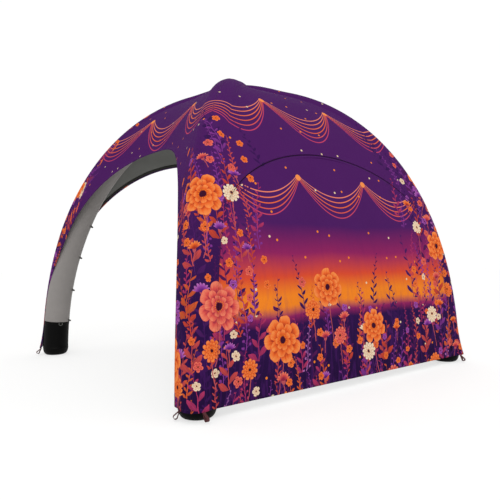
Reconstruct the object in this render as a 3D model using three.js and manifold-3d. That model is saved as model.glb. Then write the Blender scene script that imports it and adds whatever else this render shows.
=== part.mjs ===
// Inflatable event tent: four air tubes lean together at a crown and carry a canopy of four
// panels, with a side wall zipped into the front arch. Millimetres, +Z up, ground at z = 0.
import * as THREE from 'three';
import { mergeVertices } from 'three/addons/utils/BufferGeometryUtils.js';
import Module from 'manifold-3d';

const wasm = await Module();
wasm.setup();

// Driving dimensions
const footSpacing = 2730; // between the middles of neighbouring feet
const crownHeight = 2493; // the tubes' centre line at the crown, without its peak
const crownPeak = { rise: 45, reach: 450 }; // how much the crown is drawn up, and how far round it
const legBulge = 2.256; // superellipse power of a leg's plan distance
const legRise = 2.085; // superellipse power of a leg's height
const canopyRadius = 133.6; // outside of the cloth on a tube
const legTaper = { share: 0.07, from: 1600, to: 500 }; // the legs are slimmer below these heights
const clothThickness = 2;
const tubeClearance = 0.9; // between a tube and the cloth around it
const seamGap = 0.4; // between neighbouring pieces
const bootHeight = 340;
const bootFlat = 0.66; // flat spot of a boot as a share of its radius
const hemHeight = 62; // canopy and wall hem above the ground
const hemFlare = 44; // the canopy's ridge stands off the boot by this at the hem
const flareHeight = 300;
const wrapAngle = THREE.MathUtils.degToRad(60); // the cloth leaves a tube this far off its ridge
const rimFlap = 21; // cloth past the tube along the lower legs

// The kinds of arch: half width at the ground, height, powers, and how far the free rim draws in
const archKinds = {
  walled: { halfWidth: 1330, top: 1806, spread: 1.92, lift: 4.0, drawIn: 0 },
  open: { halfWidth: 1310, top: 1908, spread: 2.33, lift: 2.3, drawIn: 150 },
  back: { halfWidth: 1310, top: 1980, spread: 2.01, lift: 2.48, drawIn: 150 },
};
const drawInPower = 1.25;

const zip = { thickness: 2, lap: 13, reveal: 8, under: 14, seam: 10 };
const rimRoom = 0.7; // share of the cloth beside a tube that a strip along the rim may take
const rimTape = { thickness: 2, width: 40, edge: 7, clearance: 0.9 };
const pegLoop = { outer: 45, inner: 30, width: 25, ply: 2.4, eye: 15, out: 22, drop: 40, spread: 1.15 };
const tubeTab = { length: 32, root: 26, tip: 15, lean: 2, thickness: 2.6 };
const tabPlaces = [0.08, 1.63, 3.4, 5.25]; // in stations above the boot's top
const bootRing = { angle: 135, width: 46, height: 32, bar: 6, thickness: 5, drop: 6 };

// How finely the solids are divided
const wrapSteps = 4;
const spanSteps = 4;
const legRows = 17;
const crownRows = 6;
const wallSteps = 6;
const tubeSides = 24;

const colours = {
  canopy: '#55256a',
  wall: '#8c2f63',
  zip: '#1b1024',
  tube: '#8e8a88',
  boot: '#171716',
  loop: '#7a4046',
  tab: '#6d6a68',
  ring: '#9a9893',
};

const quarterTurn = Math.PI / 2;
const legReach = footSpacing / Math.SQRT2;
const tubeRadius = canopyRadius - clothThickness - tubeClearance;
const ringStep = (2 * Math.PI) / tubeSides;

// A leg's centre line in its upright diagonal plane, from the crown (0) to the foot (a quarter turn)
function legLine(turn) {
  const sine = Math.max(Math.sin(turn), 1e-9);
  const cosine = Math.max(Math.cos(turn), 1e-9);
  const reach = legReach * sine ** (2 / legBulge);
  const near = Math.min(1, reach / crownPeak.reach);
  const height = crownHeight * cosine ** (2 / legRise) + crownPeak.rise * (1 - near ** 2) ** 2;
  const reachSlope = (legReach * 2 * cosine * sine ** (2 / legBulge - 1)) / legBulge;
  const peakSlope = (4 * crownPeak.rise * near * (1 - near ** 2)) / crownPeak.reach;
  const archSlope = (crownHeight * 2 * sine * cosine ** (2 / legRise - 1)) / legRise;
  const heightSlope = archSlope + peakSlope * reachSlope;
  const length = Math.hypot(reachSlope, heightSlope);
  return { reach, height, outward: heightSlope / length, upward: reachSlope / length };
}

// A leg's girth at a height, as a share of its girth under the crown
function girth(height) {
  return 1 - legTaper.share * (1 - THREE.MathUtils.smoothstep(height, legTaper.to, legTaper.from));
}

// Solves rising(value) = target between two limits
function solve(rising, target, low, high) {
  let below = low;
  let above = high;
  for (let round = 0; round < 60; round += 1) {
    const middle = (below + above) / 2;
    if (rising(middle) < target) below = middle;
    else above = middle;
  }
  return (below + above) / 2;
}

// Where a leg's centre line is at a height
function turnAtHeight(height) {
  return solve((turn) => -legLine(turn).height, -height, 0, quarterTurn);
}

// A direction around the front left leg, measured from its ridge towards the front face
function wrapNormal(turn, angle) {
  const { outward, upward } = legLine(turn);
  const ridge = Math.cos(angle) * outward;
  const side = Math.sin(angle);
  return new THREE.Vector3(
    (side - ridge) / Math.SQRT2,
    (-side - ridge) / Math.SQRT2,
    Math.cos(angle) * upward,
  );
}

function legPoint(turn, angle, radius) {
  const { reach, height } = legLine(turn);
  const centre = new THREE.Vector3(-reach / Math.SQRT2, -reach / Math.SQRT2, height);
  return centre.addScaledVector(wrapNormal(turn, angle), radius * girth(height));
}

// The cloth on a leg, standing off at its hem
function wrapPoint(turn, angle, depth) {
  const rise = Math.max(0, 1 - (legLine(turn).height - hemHeight) / flareHeight);
  const flare = hemFlare * rise ** 2 * Math.cos(angle * 1.5) ** 2;
  return legPoint(turn, angle, canopyRadius + flare - depth);
}

// The rail is the line along which the front panel leaves the front left tube
const rail = (turn) => legPoint(turn, wrapAngle, canopyRadius);
const hemTurn = turnAtHeight(hemHeight);
const bootTurn = turnAtHeight(bootHeight);
const crossTurn = solve((turn) => -rail(turn).x, 0, 0, quarterTurn);
const crossHeight = rail(crossTurn).z;

// The rail's place at a height, as distances along the face and out from the middle
function railAt(height) {
  const turn = solve((value) => -rail(value).z, -height, crossTurn, quarterTurn);
  const point = rail(turn);
  return { along: -point.x, out: -point.y };
}

// Distance of the front panel's outer face from the tent's middle plane
function faceOut(arch, along, height) {
  const { along: railAlong, out } = railAt(height);
  const fade = THREE.MathUtils.clamp((crossHeight - height) / (crossHeight - arch.top), 0, 1);
  const share = Math.max(0, 1 - (along / Math.max(railAlong, 1)) ** 2);
  return out - arch.drawIn * fade * share ** drawInPower;
}

function facePoint(arch, along, height) {
  return new THREE.Vector3(along, -faceOut(arch, along, height), height);
}

function faceNormal(arch, along, height) {
  const step = 4;
  const top = Math.min(height + step, crossHeight);
  const acrossRise = faceOut(arch, along + step, height) - faceOut(arch, along - step, height);
  const acrossSlope = acrossRise / (2 * step);
  const upRise = faceOut(arch, along, top) - faceOut(arch, along, height - step);
  const upSlope = upRise / (top - height + step);
  return new THREE.Vector3(-acrossSlope, -1, -upSlope).normalize();
}

// How far the cloth reaches round a tube before it meets the mirrored half at the crown
function wrapLimit(turn) {
  const { reach, outward } = legLine(turn);
  const lean = Math.atan(outward);
  const share = reach / (canopyRadius * Math.hypot(1, outward));
  return Math.min(wrapAngle, lean + Math.asin(Math.min(1, share)));
}

// Stations along a leg, from the hem past the boot's top and the crossing of the rails to the crown
function legStations() {
  const stations = [hemTurn, turnAtHeight((hemHeight + bootHeight) / 2)];
  for (let row = 0; row <= legRows; row += 1) {
    stations.push(THREE.MathUtils.lerp(bootTurn, crossTurn, row / legRows));
  }
  for (let row = 1; row <= crownRows; row += 1) {
    stations.push(solve(wrapLimit, wrapAngle * (1 - row / crownRows), 0, crossTurn));
  }
  return stations;
}
const stations = legStations();
const crossRow = stations.length - 1 - crownRows;

// The left half of an arch's rim: one point for each station up to the crossing
function rimPoints(arch) {
  const fine = [];
  const samples = 600;
  const softness = 30;
  for (let i = 0; i <= samples; i += 1) {
    const turn = quarterTurn * (i / samples) ** 3;
    const height = arch.top * Math.sin(turn) ** (2 / arch.lift);
    const curve = Math.max(0, arch.halfWidth * Math.cos(turn) ** (2 / arch.spread));
    const limit = railAt(height).along - rimFlap;
    const along = curve < 1 ? 0 : (curve ** -softness + limit ** -softness) ** (-1 / softness);
    const last = fine[fine.length - 1];
    const length = last ? last.length + Math.hypot(along - last.along, height - last.height) : 0;
    fine.push({ along, height, length });
  }
  const total = fine[samples].length;
  const split = arch.top * 0.5;
  const pick = (key, target) => {
    const next = Math.max(1, fine.findIndex((point) => point[key] >= target));
    const share = (target - fine[next - 1][key]) / (fine[next][key] - fine[next - 1][key]);
    return {
      along: THREE.MathUtils.lerp(fine[next - 1].along, fine[next].along, share),
      height: THREE.MathUtils.lerp(fine[next - 1].height, fine[next].height, share),
      length: THREE.MathUtils.lerp(fine[next - 1].length, fine[next].length, share),
    };
  };
  const splitLength = pick('height', split).length;
  const splitTurn = solve((turn) => -rail(turn).z, -split, crossTurn, quarterTurn);
  return stations.slice(0, crossRow + 1).map((turn, row) => {
    if (row === crossRow) return { along: 0, height: arch.top };
    if (turn > splitTurn) return pick('height', rail(turn).z);
    const share = (splitTurn - turn) / (splitTurn - crossTurn);
    return pick('length', THREE.MathUtils.lerp(splitLength, total, share));
  });
}

// A closed solid from an open sheet: paired outer and inner points, and the outer triangles
function sheetSolid(outer, inner, triangles) {
  const slots = new Map();
  const slotOf = outer.map((point) => {
    const key = point.toArray().map((value) => Math.round(value * 1000)).join(' ');
    if (!slots.has(key)) slots.set(key, slots.size);
    return slots.get(key);
  });
  const count = slots.size;
  const positions = new Float32Array(count * 6);
  outer.forEach((point, i) => {
    point.toArray(positions, slotOf[i] * 3);
    inner[i].toArray(positions, (slotOf[i] + count) * 3);
  });
  const faces = triangles
    .map((corners) => corners.map((corner) => slotOf[corner]))
    .filter(([a, b, c]) => a !== b && b !== c && c !== a);
  const edges = new Set(faces.flatMap(([a, b, c]) => [`${a} ${b}`, `${b} ${c}`, `${c} ${a}`]));
  const index = [];
  faces.forEach(([a, b, c]) => {
    index.push(a, b, c);
    index.push(a + count, c + count, b + count);
  });
  edges.forEach((edge) => {
    const [a, b] = edge.split(' ').map(Number);
    if (edges.has(`${b} ${a}`)) return;
    index.push(b, a, a + count);
    index.push(b, a + count, b + count);
  });
  const geometry = new THREE.BufferGeometry();
  geometry.setAttribute('position', new THREE.BufferAttribute(positions, 3));
  geometry.setIndex(index);
  geometry.computeVertexNormals();
  return geometry;
}

// Collects the left half of a sheet as rows of outer and inner points, and mirrors it
class HalfSheet {
  constructor() {
    this.outer = [];
    this.inner = [];
    this.triangles = [];
  }

  addPoint(point, normal, depth, thickness) {
    const lean = normal.clone();
    if (Math.abs(point.x) < 1e-3) {
      point.x = 0;
      lean.x = 0;
      lean.normalize();
    }
    this.outer.push(point.clone().addScaledVector(lean, -depth));
    this.inner.push(point.clone().addScaledVector(lean, -depth - thickness));
    return this.outer.length - 1;
  }

  joinRows(lower, upper) {
    for (let i = 0; i + 1 < Math.min(lower.length, upper.length); i += 1) {
      this.triangles.push([lower[i], lower[i + 1], upper[i + 1]]);
      this.triangles.push([lower[i], upper[i + 1], upper[i]]);
    }
  }

  mirroredSolid() {
    const count = this.outer.length;
    const flip = (point) => new THREE.Vector3(-point.x, point.y, point.z);
    const outer = [...this.outer, ...this.outer.map(flip)];
    const inner = [...this.inner, ...this.inner.map(flip)];
    const mirrored = this.triangles.map(([a, b, c]) => [a + count, c + count, b + count]);
    return sheetSolid(outer, inner, [...this.triangles, ...mirrored]);
  }
}

// One canopy panel, from ridge to ridge, with its arch
function panelGeometry(arch) {
  const half = new HalfSheet();
  const rim = rimPoints(arch);
  const ridgeAngle = seamGap / 2 / canopyRadius;
  const rows = stations.map((turn, row) => {
    if (row === stations.length - 1) {
      const tip = new THREE.Vector3(0, -seamGap, legLine(0).height + canopyRadius);
      const crown = half.addPoint(tip, new THREE.Vector3(0, 0, 1), 0, clothThickness);
      return Array(wrapSteps + 1).fill(crown);
    }
    const line = [];
    const end = wrapLimit(turn);
    const point = rail(turn);
    for (let step = 0; step <= wrapSteps; step += 1) {
      const angle = THREE.MathUtils.lerp(ridgeAngle, end, step / wrapSteps);
      const normal = wrapNormal(turn, angle);
      if (step === wrapSteps && row <= crossRow) {
        normal.add(faceNormal(arch, point.x, Math.min(point.z, crossHeight))).normalize();
      }
      line.push(half.addPoint(wrapPoint(turn, angle, 0), normal, 0, clothThickness));
    }
    for (let step = 1; row <= crossRow && step <= spanSteps; step += 1) {
      const along = THREE.MathUtils.lerp(point.x, -rim[row].along, step / spanSteps);
      const height = THREE.MathUtils.lerp(point.z, rim[row].height, step / spanSteps);
      const normal = faceNormal(arch, along, height);
      line.push(half.addPoint(facePoint(arch, along, height), normal, 0, clothThickness));
    }
    return line;
  });
  for (let row = 0; row + 1 < rows.length; row += 1) half.joinRows(rows[row], rows[row + 1]);
  return half.mirroredSolid();
}

// The panel's edge at each station: the rim point, its normal, the direction past the rim, and the
// room between the rim and the tube
function rimEdges(arch) {
  return rimPoints(arch).map((end, row) => {
    const start = rail(stations[row]);
    const along = THREE.MathUtils.lerp(start.x, -end.along, 1 - 1 / spanSteps);
    const height = THREE.MathUtils.lerp(start.z, end.height, 1 - 1 / spanSteps);
    const point = facePoint(arch, -end.along, end.height);
    const past = point.clone().sub(facePoint(arch, along, height)).normalize();
    const room = point.distanceTo(facePoint(arch, start.x, start.z));
    return { point, past, room, normal: faceNormal(arch, -end.along, end.height) };
  });
}

// A strip along the rim, at a depth behind the cloth's outer face, between two distances past the rim
function rimStrip(arch, depth, thickness, from, to) {
  const half = new HalfSheet();
  const rows = rimEdges(arch).map(({ point, past, room, normal }) =>
    [Math.max(from, -room * rimRoom), to].map((reach) =>
      half.addPoint(point.clone().addScaledVector(past, reach), normal, depth, thickness)));
  for (let row = 0; row + 1 < rows.length; row += 1) half.joinRows(rows[row], rows[row + 1]);
  return half.mirroredSolid();
}

// The side wall behind the front zip
function wallGeometry(arch) {
  const half = new HalfSheet();
  const depth = clothThickness + zip.thickness + 2 * seamGap;
  const parallel = zip.reveal + zip.under + zip.seam;
  const rows = rimEdges(arch).map(({ point, past, normal }) => {
    const line = [zip.reveal, parallel].map((reach) =>
      half.addPoint(point.clone().addScaledVector(past, reach), normal, depth, clothThickness));
    const from = point.clone().addScaledVector(past, parallel);
    for (let step = 1; step <= wallSteps; step += 1) {
      const along = from.x * (1 - step / wallSteps);
      const spot = facePoint(arch, along, from.z);
      line.push(half.addPoint(spot, faceNormal(arch, along, from.z), depth, clothThickness));
    }
    return line;
  });
  for (let row = 0; row + 1 < rows.length; row += 1) half.joinRows(rows[row], rows[row + 1]);
  return half.mirroredSolid();
}

// A closed round body swept along the front left leg: sections of turn and radius
function sweptLeg(sections, tail) {
  const rings = sections.map(({ turn, radius }) =>
    Array.from({ length: tubeSides }, (_, i) => legPoint(turn, i * ringStep, radius)));
  if (tail) rings.push(rings[rings.length - 1].map((point) => point.clone().add(tail)));
  const middle = (ring) => {
    const sum = new THREE.Vector3();
    ring.forEach((point) => sum.add(point));
    return sum.divideScalar(tubeSides);
  };
  const positions = rings.flatMap((ring) => ring.flatMap((point) => point.toArray()));
  positions.push(...middle(rings[0]).toArray(), ...middle(rings[rings.length - 1]).toArray());
  const foot = rings.length * tubeSides;
  const top = foot + 1;
  const last = (rings.length - 1) * tubeSides;
  const index = [];
  for (let i = 0; i < tubeSides; i += 1) {
    const next = (i + 1) % tubeSides;
    for (let ring = 0; ring + 1 < rings.length; ring += 1) {
      const low = ring * tubeSides;
      const high = low + tubeSides;
      index.push(low + i, low + next, high + next);
      index.push(low + i, high + next, high + i);
    }
    index.push(foot, next, i);
    index.push(top, last + i, last + next);
  }
  const geometry = new THREE.BufferGeometry();
  geometry.setAttribute('position', new THREE.Float32BufferAttribute(positions, 3));
  geometry.setIndex(index);
  return geometry;
}

function toSolid(geometry) {
  const bare = geometry.index ? geometry.clone() : mergeVertices(geometry);
  bare.deleteAttribute('normal');
  bare.deleteAttribute('uv');
  const merged = mergeVertices(bare);
  const vertProperties = Float32Array.from(merged.attributes.position.array);
  const triVerts = Uint32Array.from(merged.index.array);
  return new wasm.Manifold(new wasm.Mesh({ numProp: 3, vertProperties, triVerts }));
}

function fromSolid(solid) {
  const { vertProperties, triVerts } = solid.getMesh();
  const geometry = new THREE.BufferGeometry();
  geometry.setAttribute('position', new THREE.BufferAttribute(vertProperties, 3));
  geometry.setIndex(new THREE.BufferAttribute(triVerts, 1));
  return geometry;
}

// An air tube from its boot to the crown, mitred there against its neighbours
function tubeGeometry() {
  const above = stations.slice(stations.indexOf(bootTurn));
  const sections = above.map((turn) => ({ turn, radius: tubeRadius }));
  const past = new THREE.Vector3(tubeRadius * 2, tubeRadius * 2, 0);
  const room = new THREE.BoxGeometry(footSpacing, footSpacing, crownHeight * 4);
  room.translate(-(footSpacing + seamGap) / 2, -(footSpacing + seamGap) / 2, 0);
  return fromSolid(toSolid(sweptLeg(sections, past)).intersect(toSolid(room)));
}

// A boot with a rounded bottom and a flat spot to stand on
function bootGeometry() {
  const roundSteps = 4;
  const sections = [];
  for (let step = 0; step < roundSteps; step += 1) {
    const lift = 1 - Math.cos((quarterTurn * step) / roundSteps);
    const spread = Math.sin((quarterTurn * step) / roundSteps);
    const radius = tubeRadius * (bootFlat + (1 - bootFlat) * spread);
    sections.push({ turn: turnAtHeight(hemHeight * lift), radius });
  }
  const sleeve = [hemTurn, stations[1], turnAtHeight(bootHeight - seamGap)];
  sections.push(...sleeve.map((turn) => ({ turn, radius: tubeRadius })));
  return sweptLeg(sections, null);
}

function extruded(outline, depth, curveSegments) {
  return new THREE.ExtrudeGeometry(outline, { depth, curveSegments, bevelEnabled: false });
}

// Places a piece so that its X, Y and Z lie along three directions from a point
function seat(geometry, side, up, out, point) {
  const matrix = new THREE.Matrix4().makeBasis(side, up, out).setPosition(point);
  return geometry.applyMatrix4(matrix);
}

// A peg loop: webbing doubled under the canopy's hem, with an eye that hangs out from it
function pegLoopGeometry(angleDegrees) {
  const { width, ply, eye, out, drop, spread } = pegLoop;
  const neck = Math.atan2(drop, -out);
  const outline = new THREE.Shape();
  outline.moveTo(ply, -seamGap * 1.5);
  outline.lineTo(-ply, -seamGap * 1.5);
  outline.lineTo(-ply, -ply * 2);
  outline.absarc(out, -drop, eye, neck + spread, neck - spread, false);
  outline.lineTo(ply, -ply);
  outline.closePath();
  const hole = new THREE.Path();
  hole.absarc(out, -drop, eye - ply, neck + spread, neck - spread, false);
  hole.lineTo(ply * 1.6, -ply * 1.6 * (drop / out));
  hole.closePath();
  outline.holes.push(hole);
  const geometry = extruded(outline, width, 5);
  geometry.translate(0, 0, -width / 2);
  const angle = THREE.MathUtils.degToRad(angleDegrees);
  const low = wrapPoint(hemTurn, angle, 0);
  const up = wrapPoint(stations[1], angle, 0).sub(low).normalize();
  const across = wrapPoint(hemTurn, angle + ringStep, 0).sub(wrapPoint(hemTurn, angle - ringStep, 0));
  const away = across.cross(up).normalize();
  const side = away.clone().cross(up);
  return seat(geometry, away, up, side, low.addScaledVector(away, -clothThickness / 2));
}

// A webbing tab that stands out from the tube's inner line
function tubeTabGeometry(place) {
  const { length, root, tip, lean, thickness } = tubeTab;
  const row = stations.indexOf(bootTurn) + Math.floor(place);
  const low = legPoint(stations[row], Math.PI, tubeRadius);
  const high = legPoint(stations[row + 1], Math.PI, tubeRadius);
  const outline = new THREE.Shape();
  outline.moveTo(-root / 2, seamGap);
  outline.lineTo(root / 2, seamGap);
  outline.lineTo(root / 2 - lean, length * 0.3);
  outline.absarc(-lean, length - tip / 2, tip / 2, 0, Math.PI, false);
  outline.closePath();
  const geometry = extruded(outline, thickness, 4);
  geometry.translate(0, 0, -thickness / 2);
  const up = high.clone().sub(low).normalize();
  const side = new THREE.Vector3(1, -1, 0).normalize();
  const out = up.clone().cross(side);
  return seat(geometry, up, out, up.clone().cross(out), low.lerp(high, place % 1));
}

// A D-ring that lies on the boot under its upper edge
function bootRingGeometry(angleDegrees) {
  const { width, height, bar, thickness, drop } = bootRing;
  const deeShape = (inset) => {
    const half = width / 2 - inset;
    const path = inset > 0 ? new THREE.Path() : new THREE.Shape();
    path.moveTo(half, -inset);
    path.lineTo(-half, -inset);
    path.lineTo(-half, half - height + inset);
    path.absarc(0, half - height + inset, half, Math.PI, 2 * Math.PI, false);
    path.closePath();
    return path;
  };
  const outline = deeShape(0);
  outline.holes.push(deeShape(bar));
  const geometry = extruded(outline, thickness, 7);
  const angle = THREE.MathUtils.degToRad(angleDegrees);
  const high = legPoint(bootTurn, angle, tubeRadius);
  const low = legPoint(stations[1], angle, tubeRadius);
  const up = high.clone().sub(low).normalize();
  const out = wrapNormal(bootTurn, angle);
  const side = up.clone().cross(out).normalize();
  const away = side.clone().cross(up);
  const point = high.addScaledVector(up, -drop).addScaledVector(away, seamGap);
  return seat(geometry, side, up, away, point);
}

function piece(name, geometry, colour, roughness) {
  const material = new THREE.MeshStandardMaterial({ color: colour, roughness, metalness: 0 });
  const mesh = new THREE.Mesh(geometry, material);
  mesh.name = name;
  return mesh;
}

const tent = new THREE.Group();

// Legs, each turned a quarter from the one before
const legNames = ['front_left', 'front_right', 'back_right', 'back_left'];
legNames.forEach((corner, quarter) => {
  const leg = new THREE.Group();
  leg.rotation.z = quarter * quarterTurn;
  leg.add(piece(`tube_${corner}`, tubeGeometry(), colours.tube, 0.6));
  leg.add(piece(`boot_${corner}`, bootGeometry(), colours.boot, 0.7));
  const ringAngle = quarter % 2 === 0 ? -bootRing.angle : bootRing.angle;
  leg.add(piece(`boot_ring_${corner}`, bootRingGeometry(ringAngle), colours.ring, 0.5));
  const onRight = corner.endsWith('right');
  const loopAngles = onRight ? [-pegLoop.inner, pegLoop.outer] : [-pegLoop.outer, pegLoop.inner];
  loopAngles.forEach((angle, side) => {
    leg.add(piece(`peg_loop_${corner}_${side + 1}`, pegLoopGeometry(angle), colours.loop, 0.85));
  });
  tabPlaces.forEach((place, i) => {
    leg.add(piece(`tube_tab_${corner}_${i + 1}`, tubeTabGeometry(place), colours.tab, 0.85));
  });
  tent.add(leg);
});

// Faces, each turned a quarter from the one before
const faceNames = ['front', 'right', 'back', 'left'];
const archOf = { front: 'walled', right: 'open', back: 'back', left: 'open' };
faceNames.forEach((side, quarter) => {
  const face = new THREE.Group();
  face.rotation.z = quarter * quarterTurn;
  const arch = archKinds[archOf[side]];
  face.add(piece(`canopy_${side}`, panelGeometry(arch), colours.canopy, 0.7));
  if (side === 'front') {
    const depth = clothThickness + seamGap;
    const strip = rimStrip(arch, depth, zip.thickness, -zip.lap, zip.reveal + zip.under);
    face.add(piece('zip_front', strip, colours.zip, 0.6));
    face.add(piece('wall_front', wallGeometry(arch), colours.wall, 0.7));
  } else {
    const depth = clothThickness + rimTape.clearance;
    const strip = rimStrip(arch, depth, rimTape.thickness, -rimTape.width - rimTape.edge, -rimTape.edge);
    face.add(piece(`rim_tape_${side}`, strip, colours.zip, 0.7));
  }
  tent.add(face);
});

export default tent;
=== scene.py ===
import math
import bmesh
import bpy
import numpy as np
from mathutils import Matrix, Vector

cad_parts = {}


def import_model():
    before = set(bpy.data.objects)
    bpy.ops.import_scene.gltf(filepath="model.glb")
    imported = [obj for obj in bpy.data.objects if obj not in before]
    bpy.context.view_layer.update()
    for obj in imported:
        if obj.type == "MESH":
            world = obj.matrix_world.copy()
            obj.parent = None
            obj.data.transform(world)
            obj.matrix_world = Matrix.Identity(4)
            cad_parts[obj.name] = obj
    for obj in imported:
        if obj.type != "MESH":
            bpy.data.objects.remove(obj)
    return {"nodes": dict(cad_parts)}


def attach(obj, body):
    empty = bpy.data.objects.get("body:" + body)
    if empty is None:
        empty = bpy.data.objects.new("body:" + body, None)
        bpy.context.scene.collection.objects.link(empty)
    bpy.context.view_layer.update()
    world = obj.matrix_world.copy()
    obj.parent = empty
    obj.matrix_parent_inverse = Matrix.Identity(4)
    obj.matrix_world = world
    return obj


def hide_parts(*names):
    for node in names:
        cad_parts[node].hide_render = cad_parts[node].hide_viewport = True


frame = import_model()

scene = bpy.context.scene
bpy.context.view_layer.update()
quarterTurn = math.pi / 2
fullTurn = 2 * math.pi
root2 = math.sqrt(2)
legNames = ["front_left", "front_right", "back_right", "back_left"]
sideNames = ["front", "right", "back", "left"]
print("frame loaded:", len(frame["nodes"]), "nodes")


class Named(dict):  # values that are read by their names
    __getattr__ = dict.__getitem__


# camera, where the photograph was taken from
shot = Named(
    place=(-3.12577, -4.18606, 1.00693), turn=-0.659202, pitch=0.007983, roll=-0.007574, lens=38.166,
    sensor=36, far=200,
)


def makeCamera():
    data = bpy.data.cameras.new("photoCamera")
    data.lens = shot.lens
    data.sensor_width = shot.sensor
    data.clip_end = shot.far
    place = Matrix.Translation(shot.place)
    for angle, axis in ((shot.turn, "Z"), (quarterTurn + shot.pitch, "X"), (shot.roll, "Z")):
        place = place @ Matrix.Rotation(angle, 4, axis)
    camera = bpy.data.objects.new("photoCamera", data)
    camera.matrix_world = place
    scene.collection.objects.link(camera)
    scene.camera = camera


makeCamera()
print("camera set")

# the tent's own shape, in metres
tent = Named(
    footSpacing=2.730, crownHeight=2.493, legBulge=2.256, legRise=2.085, peakRise=0.045, peakReach=0.450,
    clothRadius=0.1336, tubeRadius=0.1307, taperShare=0.07, taperFrom=1.600, taperTo=0.500,
    bootHeight=0.340, bootFlat=0.66, hemHeight=0.062, hemFlare=0.044, flareHeight=0.300,
    wrapAngle=math.radians(60), rimFlap=0.021, drawInPower=1.25, lineSteps=3000,
)
walledArch = Named(halfWidth=1.330, top=1.806, spread=1.92, lift=4.0, drawIn=0.0)
openArch = Named(halfWidth=1.310, top=1.908, spread=2.33, lift=2.3, drawIn=0.150)
backArch = Named(halfWidth=1.310, top=1.980, spread=2.01, lift=2.48, drawIn=0.150)
arches = {"front": walledArch, "right": openArch, "back": backArch, "left": openArch}
slack = Named(size=0.0022, waves=[(1.7, 0.9, 0.3), (-2.6, 1.9, 1.7), (0.7, 3.1, 4.1)])  # soft ripples
legReach = tent.footSpacing / root2
clothRadius, tubeRadius, wrapAngle = tent.clothRadius, tent.tubeRadius, tent.wrapAngle
hemHeight, bootHeight = tent.hemHeight, tent.bootHeight


def unit(vectors):
    return vectors / np.linalg.norm(vectors, axis=-1, keepdims=True)


def stack(*parts):  # numbers that belong together, side by side
    return np.stack(np.broadcast_arrays(*parts), -1)


def walk(points):  # the length along a row of points
    return np.concatenate([[0.0], np.cumsum(np.linalg.norm(np.diff(points, axis=0), axis=1))])


def ease(value, low, high):  # goes smoothly from 0 to 1
    step = np.clip((value - low) / (high - low), 0, 1)
    return step * step * (3 - 2 * step)


def solveRising(rising, target, low, high):
    target = np.asarray(target, float)
    below = np.full(target.shape, float(low))
    above = np.full(target.shape, float(high))
    for _ in range(50):
        middle = (below + above) / 2
        short = rising(middle) < target
        below = np.where(short, middle, below)
        above = np.where(short, above, middle)
    return (below + above) / 2


def legLine(turn):  # a leg's centre line: 0 is the crown, a quarter turn is the foot
    s = np.maximum(np.sin(turn), 1e-9)
    c = np.maximum(np.cos(turn), 1e-9)
    bulge, rise = 2 / tent.legBulge, 2 / tent.legRise
    reach = legReach * s ** bulge
    near = np.minimum(1, reach / tent.peakReach)
    height = tent.crownHeight * c ** rise + tent.peakRise * (1 - near ** 2) ** 2
    reachSlope = legReach * bulge * c * s ** (bulge - 1)
    peakSlope = 4 * tent.peakRise * near * (1 - near ** 2) / tent.peakReach
    heightSlope = tent.crownHeight * rise * s * c ** (rise - 1) + peakSlope * reachSlope
    size = np.hypot(reachSlope, heightSlope)
    return reach, height, heightSlope / size, reachSlope / size


def turnAtHeight(height):
    return solveRising(lambda turn: -legLine(turn)[1], -np.asarray(height, float), 0, quarterTurn)


def girth(height):  # legs are a little slimmer near the ground
    return 1 - tent.taperShare * (1 - ease(height, tent.taperTo, tent.taperFrom))


def wrapNormal(turn, angle):  # round the front left leg, from its ridge towards the front face
    _, _, outward, upward = legLine(turn)
    ridge, side = np.cos(angle) * outward, np.sin(angle)
    return stack((side - ridge) / root2, (-side - ridge) / root2, np.cos(angle) * upward)


def legPoint(turn, angle, radius):
    turn, angle, radius = np.broadcast_arrays(turn, angle, radius)
    reach, height, _, _ = legLine(turn)
    centre = stack(-reach / root2, -reach / root2, height)
    return centre + wrapNormal(turn, angle) * (radius * girth(height))[..., None]


def wrapPoint(turn, angle, lift=0.0):  # the cloth on a leg, standing off at its hem
    rise = np.maximum(0, 1 - (legLine(turn)[1] - hemHeight) / tent.flareHeight)
    flare = tent.hemFlare * rise ** 2 * np.cos(angle * quarterTurn / wrapAngle) ** 2
    return legPoint(turn, angle, clothRadius + flare + lift)


def rail(turn):  # where the front panel leaves the front left tube
    return legPoint(turn, wrapAngle, clothRadius)


hemTurn = float(turnAtHeight(hemHeight))
bootTurn = float(turnAtHeight(bootHeight))
crossTurn = float(solveRising(lambda turn: -rail(turn)[..., 0], 0.0, 0, quarterTurn))
crossHeight = float(rail(crossTurn)[2])
railLine = rail(np.linspace(quarterTurn, crossTurn, tent.lineSteps))
railDeveloped = walk(railLine[:, 1:])
legTurns = np.linspace(quarterTurn, 0, tent.lineSteps)
legLength = walk(stack(*legLine(legTurns)[:2]))


def railAt(height):
    return [np.interp(height, railLine[:, 2], -railLine[:, k]) for k in (0, 1)]


def clothHeight(height):  # how far up the flat cut a height on the face is
    return np.interp(height, railLine[:, 2], railDeveloped)


def faceOut(arch, along, height):  # how far the front panel is from the tent's middle plane
    railAlong, out = railAt(height)
    fade = np.clip((crossHeight - height) / (crossHeight - arch.top), 0, 1)
    share = np.maximum(0, 1 - (along / np.maximum(railAlong, 1e-3)) ** 2)
    ripple = sum(np.sin(fullTurn * (a * np.abs(along) + b * height) + c) for a, b, c in slack.waves)
    drawn = arch.drawIn * fade * share ** tent.drawInPower
    return out - drawn + slack.size / 3 * ripple * share * fade


def facePoint(arch, along, height):
    return stack(along, -faceOut(arch, along, height), height)


def faceNormal(arch, along, height):
    step = 0.004
    top = np.minimum(height + step, crossHeight)
    across = (faceOut(arch, along + step, height) - faceOut(arch, along - step, height)) / (2 * step)
    rise = (faceOut(arch, along, top) - faceOut(arch, along, height - step)) / (top - height + step)
    return unit(stack(-across, -1.0, -rise))


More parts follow.
